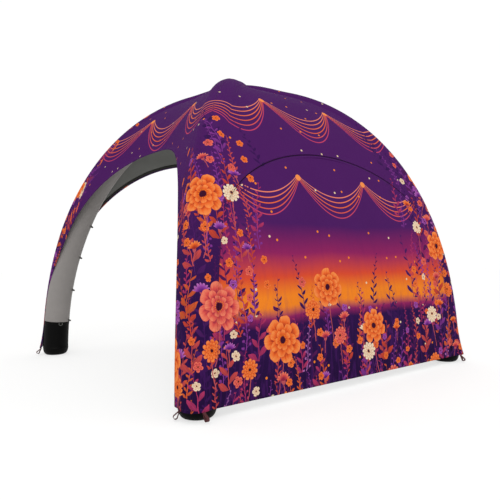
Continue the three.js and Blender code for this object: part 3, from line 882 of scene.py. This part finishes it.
def rimAt(arch):  # how far out and how high the left half of an arch's rim is at each station
    t = quarterTurn * np.linspace(0, 1, rimCurve.points) ** rimCurve.crowding
    height = arch.top * np.sin(t) ** (2 / arch.lift)
    curve = np.maximum(1e-6, arch.halfWidth * np.maximum(np.cos(t), 0) ** (2 / arch.spread))
    limit = railAt(height)[0] - tent.rimFlap
    power = -rimCurve.joining
    along = np.where(curve < rimCurve.least, 0, (curve ** power + limit ** power) ** (1 / power))
    length = walk(stack(along, height))
    middle = arch.top * rimCurve.split
    middleLength = np.interp(middle, height, length)
    middleTurn = float(solveRising(lambda turn: -rail(turn)[..., 2], -middle, crossTurn, quarterTurn))
    byHeight = np.interp(stationRail[:, 2], height, length)
    share = np.clip((middleTurn - stations) / (middleTurn - crossTurn), 0, 1)
    at = np.where(stations > middleTurn, byHeight, middleLength + share * (length[-1] - middleLength))
    along, height = np.interp(at, length, along), np.interp(at, length, height)
    along[-1], height[-1] = 0.0, arch.top
    return along, height


def firstRow(side):  # where the left half's rim comes free of the turned back edge
    return int(np.sum(rimAt(arches[side])[1] < turnedBack.high)) if side == "left" else 0


def rimRow(arch, reach, depth):  # a line past the rim or on the cloth beside it, behind its outer face
    along, height = rimAt(arch)

    def beside(share):  # a share of the way from the rim to the tube
        return (stationRail[:, 0] + along) * share - along, height + (stationRail[:, 2] - height) * share

    rim = facePoint(arch, -along, height)
    past = unit(rim - facePoint(arch, *beside(panelCut.rimProbe)))
    past[-1, 0] = 0.0
    room = np.linalg.norm(rim - facePoint(arch, stationRail[:, 0], stationRail[:, 2]), axis=1)
    x, z = beside(np.clip(-reach / room, 0, panelCut.rimShare))
    x[-1] = 0.0
    normal = faceNormal(arch, x, z)
    normal[-1, 0] = 0.0
    ahead = np.broadcast_to(np.maximum(0, reach), room.shape)
    return facePoint(arch, x, z) + past * ahead[:, None] - normal * depth, normal


def wrappedSheets(turns, angles, lift):  # points, flat cut, and flat cut carried over from the next panel
    out = angles * clothRadius
    points = wrapPoint(turns[:, None], angles, lift)
    return points, layFlat(turns, wrapWidth - out), layFlat(turns, wrapWidth + out)


def spanSheets(arch):  # the same, from the tube to the rim
    along, height = rimAt(arch)
    room = np.linalg.norm(facePoint(arch, -along, height) - stationRail, axis=1)
    hem = np.minimum(panelCut.rimHem / np.maximum(room, 1e-3), panelCut.rimShare)[:, None]
    even = np.linspace(0, 1, panelCut.spanColumns)[None, 1:] * (1 - hem)
    shares = np.concatenate([even, 1 - hem * panelCut.rimSlope, np.ones_like(hem)], axis=1)
    x = stationRail[:, :1] - (along[:, None] + stationRail[:, :1]) * shares
    z = stationRail[:, 2:] + (height[:, None] - stationRail[:, 2:]) * shares
    lift = np.repeat(hemRise[:, None], shares.shape[1], axis=1)
    lift[:, -2:] = panelCut.foldLift
    points = facePoint(arch, x, z) + faceNormal(arch, x, z) * lift[..., None]
    return points, stack(x, clothHeight(z)), layFlat(stations, 2 * wrapWidth + shares * room[:, None])


def panelHalf(arch):  # the sheets of the face and of the crown
    wrapped = wrappedSheets(stations, wrapAngle * wrapShares, seamRise + hemRise[:, None])
    face = [np.concatenate(pair, axis=1) for pair in zip(wrapped, spanSheets(arch))]
    ends = wrapLimit(crownTurns)[:, None]
    crown = wrappedSheets(crownTurns, wrapShares * ends, seamRise * ends / wrapAngle)
    crown[0][-1] = crownTip
    crown[0][:, -1, 0] = 0.0
    last = len(wrapShares) - 1
    top = [np.concatenate([low[-1:, :last + 1], high]) for low, high in zip(face, crown)]
    face[0][-1, last:, 0] = 0.0
    top[0][0, last, 0] = 0.0
    return face, top


def turnBack(face):
    free = ease(face[0][:, -1, 2], turnedBack.low, turnedBack.high)
    keep = 1 - (1 - turnedBack.keep) * (1 - free)
    for row in np.flatnonzero(keep < 1):
        length = walk(face[0][row])
        for sheet in face:
            sheet[row] = stack(*[np.interp(length * keep[row], length, column) for column in sheet[row].T])


def panelStitches(arch, first):  # one half: beside the ridge seam, along the hem and along the rim
    turns = np.concatenate([stations, crownTurns[:-2]])
    angle = np.minimum(panelCut.stitchIn / clothRadius, wrapLimit(turns) * 0.5)
    ridge = wrapPoint(turns, angle, panelCut.seamLift + stitchLift), wrapNormal(turns, angle)
    turn = float(turnAtHeight(hemStitchHeight))
    to = turnedBack.keep if first else 1
    angles = np.linspace(panelCut.hemStitchFrom, to, panelCut.hemSteps) * wrapAngle
    hem = wrapPoint(turn, angles, panelCut.foldLift + stitchLift), wrapNormal(turn, angles)
    points, normal = rimRow(arch, -panelCut.rimStitch, -panelCut.foldLift - stitchLift)
    return [ridge, hem, (points[first:], normal[first:])]


def cutSize(half):  # the least box round one half of the cut; two halves are cut side by side
    sizes = []
    for angle in np.radians(np.arange(0, 90, 2)):
        c, s = math.cos(angle), math.sin(angle)
        sizes.append(np.ptp(half @ np.array([[c, -s], [s, c]]), axis=0))
    narrow, long = sorted(min(sizes, key=np.prod))
    return 2 * float(narrow), float(long)


def makePanel(side, quarter):
    arch = arches[side]
    isOdd = quarter % 2 == 1  # the print of the left and right panels is carried over from their neighbours
    cloth = Cloth()
    for isRight in (False, True):
        face, top = panelHalf(arch)
        if side == "left" and not isRight:
            turnBack(face)
        for points, flat, carried in (face, top):
            tone = np.zeros((points.shape[0] - 1, points.shape[1] - 1), int)
            if points is face[0]:
                tone[:, -2:] = 2  # the folded rim shows the print on its inner side too
            place = (carried if isOdd else flat) * (-1.0 if isRight != isOdd else 1.0, 1.0)
            if side in ("back", "right" if isRight else "left"):
                place = place + (backShift, 0.0)
            points = mirrored(points) if isRight else points
            cloth.grid(points, flip=isRight, tone=tone, panel=np.abs(flat), print=place)
    ink = frontPrint if side == "front" else canopyPrint
    piece = cloth.piece("canopyCloth" + side.capitalize(), quarter, ink, plain.liningCloth, ink, ink)
    thicken(piece, panelCut.cloth, inner=1)
    settle(piece, "canopy_print", f"canopy_{side}")
    lines = bothHalves(panelStitches(arch, firstRow(side)), panelStitches(arch, 0))
    name = "canopyStitches" + side.capitalize()
    sewn = makeBeads(name, lines, stitch, plain.printThread, quarter, "canopy_print")
    return piece, sewn, cutSize(np.concatenate(cloth.maps["panel"]))


canopy = {side: makePanel(side, quarter) for quarter, side in enumerate(sideNames)}
print("canopy panels made:", len(canopy))

# zip, rim tapes and wall
zipStrip = Named(
    lap=0.013, shown=0.022, columns=6, depth=0.0030, thickness=0.0012, coilLift=0.0008, narrow=0.002,
    wide=0.008, low=1.1, high=1.7,
)
rimTape = Named(
    width=0.036, edge=0.014, columns=5, depth=0.0027, thickness=0.0016, coilAt=0.019, coilLift=0.0006,
)
wall = Named(
    parallel=0.032, depth=0.0006, cloth=0.0016, columns=26, stitchIn=0.012, hemHalf=1.30, hemSteps=60,
)
zipShadeWidening = ease(rimAt(walledArch)[1], zipStrip.low, zipStrip.high)
zipGap = zipStrip.narrow + (zipStrip.wide - zipStrip.narrow) * zipShadeWidening  # wider along the top: the real dark zip, shown wider there as painted shade under the rim


def makeRimStrip(name, side, quarter, reaches, strip, material):
    points = np.stack([rimRow(arches[side], reach, strip.depth)[0] for reach in reaches], 1)
    cloth = Cloth()
    cloth.grid(points[firstRow(side):])
    cloth.grid(mirrored(points), flip=True)
    piece = cloth.piece(name, quarter, material)
    thicken(piece, strip.thickness)
    return piece


def makeZip():
    reaches = np.linspace(-zipStrip.lap, zipStrip.shown, zipStrip.columns)
    piece = makeRimStrip("zipTape", "front", 0, reaches, zipStrip, plain.zipCloth)
    settle(piece, "zip", "zip_front")
    line = rimRow(walledArch, zipGap / 2, zipStrip.depth - zipStrip.coilLift)
    makeBeads("zipTeeth", bothHalves([line], [line]), coil, plain.zipCoil, 0, "zip")
    return piece


def makeRimTape(side, quarter):
    reaches = np.linspace(-rimTape.width, 0, rimTape.columns) - rimTape.edge
    name = side.capitalize()
    piece = makeRimStrip("rimTape" + name, side, quarter, reaches, rimTape, plain.tapeCloth)
    settle(piece, "rim_tape", f"rim_tape_{side}")
    depth = rimTape.depth + rimTape.thickness + rimTape.coilLift
    points, away = rimRow(arches[side], -rimTape.coilAt, depth)
    first = firstRow(side)
    lines = bothHalves([(points[first:], -away[first:])], [(points, -away)])
    makeBeads("rimTeeth" + name, lines, coil, plain.zipCoil, quarter, "rim_tape")


def makeWall():
    arch, depth = walledArch, wall.depth
    edge = [rimRow(arch, past, depth)[0] for past in (zipGap, wall.parallel)]
    start, _ = rimRow(arch, wall.parallel, 0.0)
    x = start[:, :1] * (1 - np.linspace(0, 1, wall.columns + 1)[1:])
    z = np.broadcast_to(start[:, 2:], x.shape)
    spread = facePoint(arch, x, z) - faceNormal(arch, x, z) * (depth - hemRise)[:, None, None]
    spread[:, -1, 0] = 0.0
    points = np.concatenate([np.stack(edge, 1), spread], axis=1)
    flat = stack(points[..., 0], clothHeight(points[..., 2]))
    cloth = Cloth()
    cloth.grid(points, panel=np.abs(flat), print=flat)
    cloth.grid(mirrored(points), flip=True, panel=np.abs(flat), print=flat * (-1.0, 1.0))
    piece = cloth.piece("wallCloth", 0, wallPrint, plain.liningCloth)
    thicken(piece, wall.cloth, inner=1)
    settle(piece, "wall_print", "wall_front")
    row = np.linspace(-wall.hemHalf, 0, wall.hemSteps)
    height = np.full(len(row), hemStitchHeight)
    away = faceNormal(arch, row, height)
    hemLine = facePoint(arch, row, height) - away * (depth - panelCut.foldLift - stitchLift), away
    lines = [rimRow(arch, zipGap + wall.stitchIn, depth - stitchLift), hemLine]
    sewn = makeBeads("wallStitches", bothHalves(lines, lines), stitch, plain.printThread, 0, "wall_print")
    return piece, sewn, (2 * float(np.abs(flat[..., 0]).max()), float(np.ptp(flat[..., 1])))


zipTape = makeZip()
for quarter, side in enumerate(sideNames):
    if side != "front":
        makeRimTape(side, quarter)
wallCloth, wallSewn, wallSize = makeWall()
print("wall, zip and rim tapes made")

# air tubes and boots
sleeve = Named(
    sides=48, rows=110, crownRows=30, wrinkle=0.0016, wrinkleLength=0.075, wrinkleFade=0.25, tail=0.28,
    bandRows=(0.0, 0.008, 0.036, 0.0372), bandRise=0.00072, bandStitch=0.032, bandLift=0.0009, seam=0.005,
    seamRows=(-1.2, -1.0, 1.0, 1.2), seamLift=0.0008, stitchAngle=0.026, stitchSink=0.0001, mitre=0.0002,
    wrinkleSway=(1.3, 5.1), wrinklePatches=(2.3, 0.4), seamReach=1.05, stitchSteps=160,
)
boot = Named(
    roundSteps=9, sides=48, sideRows=8, piping=0.0016, pipingHeight=0.0035,
    pipingRows=((0.2, 0.7), (1.0, 1.0), (1.8, 0.7), (2.0, 0.0)), top=0.0004, binding=0.022,
    bindingRows=((0.022, 1.0), (0.011, 1.1), (0.0012, 1.0), (0.0, 0.4)), bindingSlope=0.002,
    bindingLift=0.0009, bindingStitch=0.85, soleStitch=3.2, stitchLift=0.0003, stitchSteps=120,
)
around = np.linspace(0.0, fullTurn, boot.stitchSteps)


def legStitches(turn, angle, radius):
    turn, angle = np.broadcast_arrays(turn, angle)
    return legPoint(turn, angle, radius), wrapNormal(turn, angle)


def tubeShell(cloth, name):
    piece = cloth.piece(name, 0, plain.tubeCloth)
    shell = bmesh.new()
    shell.from_mesh(piece.data)
    for normal in ((1, 0, 0), (0, 1, 0)):  # mitred against its neighbours at the crown
        whole = shell.verts[:] + shell.edges[:] + shell.faces[:]
        cut = bmesh.ops.bisect_plane(shell, geom=whole, dist=1e-6, plane_no=normal, clear_outer=True,
                                     plane_co=(-sleeve.mitre, -sleeve.mitre, 0))
        edges = [edge for edge in cut["geom_cut"] if isinstance(edge, bmesh.types.BMEdge)]
        bmesh.ops.edgeloop_fill(shell, edges=edges)
    bmesh.ops.recalc_face_normals(shell, faces=shell.faces[:])
    shell.to_mesh(piece.data)
    shell.free()
    return piece


def makeTube(leg, quarter):
    bandTurns = turnAtHeight(bootHeight + np.array(sleeve.bandRows))
    turns = np.concatenate([bandTurns, np.linspace(bandTurns[-1], crossTurn, sleeve.rows)[1:],
                            np.linspace(crossTurn, 0.0, sleeve.crownRows)[1:]])
    seam = sleeve.seam / tubeRadius
    seamAngles = math.pi + np.array(sleeve.seamRows) * seam
    angles = np.sort(np.concatenate([np.linspace(0, fullTurn, sleeve.sides + 1), seamAngles]))
    up = np.interp(turns, legTurns[::-1], legLength[::-1])
    inward = np.clip(-np.cos(angles), 0, 1) ** 2
    fade = np.clip((up - up[len(bandTurns) - 1]) / sleeve.wrinkleFade, 0, 1)
    sway, often = sleeve.wrinkleSway
    waves = np.sin(fullTurn * up / sleeve.wrinkleLength + sway * np.sin(up * often))
    often, start = sleeve.wrinklePatches
    crease = 0.5 + 0.5 * waves * np.clip(np.sin(up * often + start), 0, 1)
    radii = tubeRadius - sleeve.wrinkle * (fade * crease)[:, None] * inward
    radii += np.where(np.abs(angles - math.pi) <= seam * sleeve.seamReach, sleeve.seamLift, 0.0)
    radii[:3] += sleeve.bandRise
    rings = legPoint(turns[:, None], angles, radii)
    rings = np.concatenate([rings, rings[-1:] + (sleeve.tail, sleeve.tail, 0.0)])
    up = np.append(up, up[-1] + sleeve.tail * root2)
    cloth = Cloth()
    cloth.tube(rings, stack(angles * tubeRadius, up[:, None]))
    piece = tubeShell(cloth, "airTube_" + leg)
    piece.data.transform(Matrix.Rotation(quarter * quarterTurn, 4, "Z"))
    settle(piece, "tube_cloth", f"tube_{leg}")
    rowTurns = np.linspace(bandTurns[-1], crossTurn, sleeve.stitchSteps)
    lines = [legStitches(rowTurns, math.pi + angle, tubeRadius - sleeve.stitchSink)
             for angle in (-sleeve.stitchAngle, sleeve.stitchAngle)]
    bandTurn = turnAtHeight(bootHeight + sleeve.bandStitch)
    lines.append(legStitches(bandTurn, around, tubeRadius + sleeve.bandLift))
    makeBeads("tubeStitches_" + leg, lines, stitch, plain.greyThread, quarter, "tube_cloth")
    return piece


def makeBoot(leg, quarter):
    top, flat = bootHeight - boot.top, tent.bootFlat
    arc = np.linspace(0, quarterTurn, boot.roundSteps + 1)
    rows = list(zip(hemHeight * (1 - np.cos(arc)), tubeRadius * (flat + (1 - flat) * np.sin(arc))))
    for lift, proud in boot.pipingRows:
        rows.append((hemHeight + boot.pipingHeight * lift, tubeRadius + boot.piping * proud))
    side = np.linspace(rows[-1][0], top - boot.binding - boot.bindingSlope, boot.sideRows)
    rows += [(height, tubeRadius) for height in side[1:]]
    for down, proud in boot.bindingRows:
        rows.append((top - down, tubeRadius + boot.bindingLift * proud))
    heights, radii = np.array(rows).T[..., None]
    angles = np.linspace(0, fullTurn, boot.sides + 1)
    rings = legPoint(turnAtHeight(heights), angles, radii)
    rings[0, :, 2] = 0.0
    cloth = Cloth()
    cloth.tube(rings, stack(angles * tubeRadius, heights))
    piece = cloth.piece("boot_cover_" + leg, quarter, plain.bootCloth)
    settle(piece, "boot_cover", f"boot_{leg}")
    high = turnAtHeight(top - boot.binding * boot.bindingStitch)
    low = turnAtHeight(hemHeight + boot.pipingHeight * boot.soleStitch)
    lines = [legStitches(high, around, tubeRadius + boot.bindingLift + boot.stitchLift),
             legStitches(low, around, tubeRadius + boot.stitchLift)]
    makeBeads("bootStitches_" + leg, lines, stitch, plain.darkThread, quarter, "boot_cover")


tubes = [makeTube(leg, quarter) for quarter, leg in enumerate(legNames)]
for quarter, leg in enumerate(legNames):
    makeBoot(leg, quarter)
print("air tubes and boots made:", len(tubes))


# webbing, rings and tabs
def lay(flat, place, first, second):  # a flat outline, set in place
    return place + flat[:, :1] * first + flat[:, 1:] * second


def roundedPath(points):  # cuts a path's corners twice, its ends stay
    points = np.asarray(points, float)
    for _ in range(2):
        low = points[:-1] * 0.75 + points[1:] * 0.25
        high = points[:-1] * 0.25 + points[1:] * 0.75
        points = np.concatenate([points[:1], np.stack([low, high], 1).reshape(-1, 2), points[-1:]])
    return points


def sweep(cloth, path, side, outline, closed=False):  # an outline swept along a path in one plane
    ahead = np.roll(path, -1, 0) - np.roll(path, 1, 0) if closed else np.gradient(path, axis=0)
    out = np.cross(unit(ahead), side)
    outline = np.concatenate([outline, outline[:1]])
    rings = path[:, None] + outline[:, :1] * side + outline[:, 1:] * out[:, None]
    if closed:
        rings = np.concatenate([rings, rings[:1]])
    cloth.tube(rings, stack(walk(outline), walk(rings[:, 0])[:, None]), closed)


def addPlate(cloth, outline, thickness, place, first, second):  # a flat outline with a soft edge
    soften = 0.28
    outline = np.concatenate([outline, outline[:1]])
    middle = outline[:-1].mean(0)
    inner = middle + (outline - middle) * 0.5
    edge = outline + unit(middle - outline) * soften * thickness
    lower = [(inner, -0.5), (edge, -0.5), (outline, soften - 0.5)]
    layers = lower + [(flat, -level) for flat, level in reversed(lower)]
    out = np.cross(first, second) * thickness
    rings = np.stack([lay(flat, place + level * out, first, second) for flat, level in layers])
    cloth.tube(rings, np.stack([flat for flat, _ in layers]))


def bothSides(half):
    half = np.array(half)
    return np.concatenate([half, half[::-1] * (-1.0, 1.0)])


strapEdge = np.array([(-0.5, -0.3), (-0.46, -0.5), (0.46, -0.5), (0.5, -0.3)])
strapOutline = np.concatenate([strapEdge, -strapEdge])
barSides = 10
barAngles = np.arange(barSides) * fullTurn / barSides
barOutline = stack(np.cos(barAngles), np.sin(barAngles))
pegLoop = Named(
    far=math.radians(45), near=math.radians(30), width=0.022, ply=0.0017, eye=0.0132, out=0.022,
    drop=0.040, spread=1.15, steps=26, inset=0.001, probe=0.1,
    under=((-0.0047, 0.024), (-0.0045, 0.003), (-0.0018, -0.006)),
    over=((0.0014, -0.007), (-0.0026, 0.003), (-0.0028, 0.024)),
)
bootRing = Named(
    angle=math.radians(135), width=0.039, height=0.028, bar=0.0021, corner=0.004, drop=0.006, away=0.0036,
    probe=0.2, strap=0.022, ply=0.0014, wrap=0.00084, wrapFrom=0.35,
    over=((-0.0012, 0.0065), (0.0010, 0.004)), under=(0.003, (-0.0024, 0.0065)),
    bowSteps=24, wrapSteps=14,
)
tubeTab = Named(
    places=(0.08, 1.63, 3.40, 5.25), rows=17, length=0.032, root=0.026, tip=0.015, lean=0.002,
    shoulder=0.3, thickness=0.0026, tipSteps=9,
)


def hemFrame(angle):  # a place on the hem, and the ways away from the leg and up
    low = wrapPoint(hemTurn, angle)
    up = unit(wrapPoint(stations[1], angle) - low)
    along = wrapPoint(hemTurn, angle + pegLoop.probe) - wrapPoint(hemTurn, angle - pegLoop.probe)
    away = unit(np.cross(along, up))
    return low - away * pegLoop.inset, away, up


def makePegLoops(leg, quarter):
    neck = math.atan2(pegLoop.drop, -pegLoop.out)
    arc = np.linspace(neck + pegLoop.spread, neck - pegLoop.spread + fullTurn, pegLoop.steps)
    eye = stack(pegLoop.out + pegLoop.eye * np.cos(arc), -pegLoop.drop + pegLoop.eye * np.sin(arc))
    path = roundedPath(np.concatenate([pegLoop.under, eye, pegLoop.over]))
    far, near = pegLoop.far, pegLoop.near
    cloth = Cloth()
    for angle in (-near, far) if leg.endswith("right") else (-far, near):
        low, away, up = hemFrame(angle)
        outline = strapOutline * (pegLoop.width, pegLoop.ply)
        sweep(cloth, lay(path, low, away, up), np.cross(away, up), outline)
    piece = cloth.piece("pegLoops_" + leg, quarter, plain.pegWebbing)
    settle(piece, "peg_webbing", f"peg_loop_{leg}_1", f"peg_loop_{leg}_2")


def makeBootRing(leg, quarter):
    angle = bootRing.angle if quarter % 2 else -bootRing.angle
    high = legPoint(bootTurn, angle, tubeRadius)
    up = unit(high - legPoint(turnAtHeight(bootRing.probe), angle, tubeRadius))
    side = unit(np.cross(up, wrapNormal(bootTurn, angle)))
    away = np.cross(side, up)
    start = high - up * bootRing.drop + away * bootRing.away
    bar, corner = bootRing.bar, bootRing.corner
    half = bootRing.width / 2 - bar
    arc = np.linspace(math.pi, fullTurn, bootRing.bowSteps)
    bow = stack(half * np.cos(arc), half - bootRing.height + bar + half * np.sin(arc))
    flat = [(half - corner, -bar), (corner - half, -bar), (-half, -bar - corner)]
    dee = np.concatenate([flat, bow, [(half, -bar - corner)]])
    ring = Cloth()
    sweep(ring, lay(dee, start, side, up), away, barOutline * bar, closed=True)
    piece = ring.piece("bootRing_" + leg, quarter, plain.ringPlastic)
    settle(piece, "ring_plastic", f"boot_ring_{leg}")
    arc = np.linspace(bootRing.wrapFrom, -math.pi, bootRing.wrapSteps)
    wrap = bar + bootRing.wrap
    rise, end = bootRing.under
    loop = stack(wrap * np.cos(arc), -bar + wrap * np.sin(arc))
    path = roundedPath(np.concatenate([bootRing.over, loop, [(-wrap, rise), end]]))
    strap = Cloth()
    sweep(strap, lay(path, start, away, up), side, strapOutline * (bootRing.strap, bootRing.ply))
    settle(strap.piece("ringStrap_" + leg, quarter, plain.bootWebbing), "boot_cover")


def makeTubeTabs(leg, quarter):
    arc = np.linspace(0, math.pi, tubeTab.tipSteps)
    tip, length, half, lean = tubeTab.tip / 2, tubeTab.length, tubeTab.root / 2, tubeTab.lean
    root = [(-half, 0.0), (0.0, 0.0), (half, 0.0), (half - lean, length * tubeTab.shoulder)]
    outline = np.concatenate([root, stack(tip * np.cos(arc) - lean, length - tip + tip * np.sin(arc))])
    rows = legPoint(np.linspace(bootTurn, crossTurn, tubeTab.rows + 1), math.pi, tubeRadius)
    cloth = Cloth()
    for place in tubeTab.places:
        low, high = rows[int(place)], rows[int(place) + 1]
        up = unit(high - low)
        out = np.cross(up, np.array([1.0, -1.0, 0.0]) / root2)
        addPlate(cloth, outline, tubeTab.thickness, low + (high - low) * (place % 1), up, out)
    piece = cloth.piece("tubeTabs_" + leg, quarter, plain.tabWebbing)
    settle(piece, "tab_webbing", *[f"tube_tab_{leg}_{k + 1}" for k in range(len(tubeTab.places))])


slider = Named(
    height=0.150, probe=0.02, row=5, rows=40, body=(0.00525, 0.0085), thickness=0.0052,
    bodyHalf=((0.55, -1.0), (1.0, -0.2), (0.9, 0.75), (0.3, 1.0)), pull=(0.00375, 0.034),
    pullHalf=((0.6, -1.0), (1.0, -0.92), (1.0, -0.6), (0.7, -0.3), (0.6, 0.0)), pullThickness=0.0018,
    pullOut=0.0045, pullDrop=0.002, bridge=(0.0042, 0.0012),
    bridgePath=((0.005, 0.0022), (0.0045, 0.0052), (0.0, 0.0058), (-0.0045, 0.0052), (-0.005, 0.0022)),
)


def makeSliders():
    line, normal = rimRow(walledArch, zipGap / 2, 0.0)
    line = line[:slider.rows]
    place, near = (np.array([np.interp(height, line[:, 2], column) for column in line.T])
                   for height in (slider.height, slider.height + slider.probe))
    up = unit(near - place)
    out = normal[slider.row]
    out = unit(out - up * np.dot(out, up))
    body, pull = (bothSides(slider[part + "Half"]) * slider[part] for part in ("body", "pull"))
    bridge = roundedPath(slider.bridgePath)
    cloth = Cloth()
    for p, u, o in ((place, up, out), (mirrored(place), mirrored(up), mirrored(out))):
        across = np.cross(u, o)
        addPlate(cloth, body, slider.thickness, p, across, u)
        hung = p + o * slider.pullOut - u * slider.pullDrop
        addPlate(cloth, pull, slider.pullThickness, hung, across, u)
        sweep(cloth, lay(bridge, p, u, o), across, strapOutline * slider.bridge)
    settle(cloth.piece("zipSliders", 0, plain.zipCoil), "zip")


for quarter, leg in enumerate(legNames):
    makePegLoops(leg, quarter)
    makeBootRing(leg, quarter)
    makeTubeTabs(leg, quarter)
makeSliders()
print("fittings made")


# sheets as they were cut
def sheetArea(name, piece, size):
    area = sum(face.area for face in piece.data.polygons)
    print(name, "cut", [round(v, 3) for v in size], "area", round(area, 3))
    return area


for quarter, side in enumerate(sideNames):
    piece, sewn, size = canopy[side]
    area = sheetArea(side + " panel", piece, size)
wallArea = sheetArea("wall", wallCloth, wallSize)

# studio
studio = Named(
    floorHalf=30.0, floorDrop=-0.0005, floor=(160, 160, 159), glow=0.62, white=(1.0, 1.0, 1.0, 1.0),
    skyPower=1.02, aim=(0.0, 0.0, 1.0),
    lights=(("keyLight", (-6.0, -7.0, 7.5), 5.0, 300), ("fillLight", (5.0, -6.5, 4.0), 5.0, 60)),
    roughness=0.9, specular=0.1,
)


def makeStudio():
    world = bpy.data.worlds.new("studio")
    world.use_nodes = True
    feed(world.node_tree.nodes["Background"], {0: studio.white, 1: studio.skyPower})
    scene.world = world
    half = studio.floorHalf
    mesh = bpy.data.meshes.new("floor")
    sides = ((-half, -half), (half, -half), (half, half), (-half, half))
    mesh.from_pydata([(x, y, studio.floorDrop) for x, y in sides], [], [(0, 1, 2, 3)])
    material, shader = newMaterial("floorPaper", studio.roughness, studio.specular)
    feed(shader, {"Base Color": linear(*studio.floor), "Emission Color": studio.white,
                  "Emission Strength": studio.glow})
    makeObject("floor", mesh, material)
    for name, place, size, power in studio.lights:
        data = bpy.data.lights.new(name, "AREA")
        data.size = size
        data.energy = power
        light = bpy.data.objects.new(name, data)
        light.location = place
        light.rotation_euler = (Vector(studio.aim) - Vector(place)).to_track_quat("-Z", "Y").to_euler()
        scene.collection.objects.link(light)
    scene.view_settings.view_transform = "Standard"
    scene.view_settings.look = "None"


makeStudio()
print("studio set")
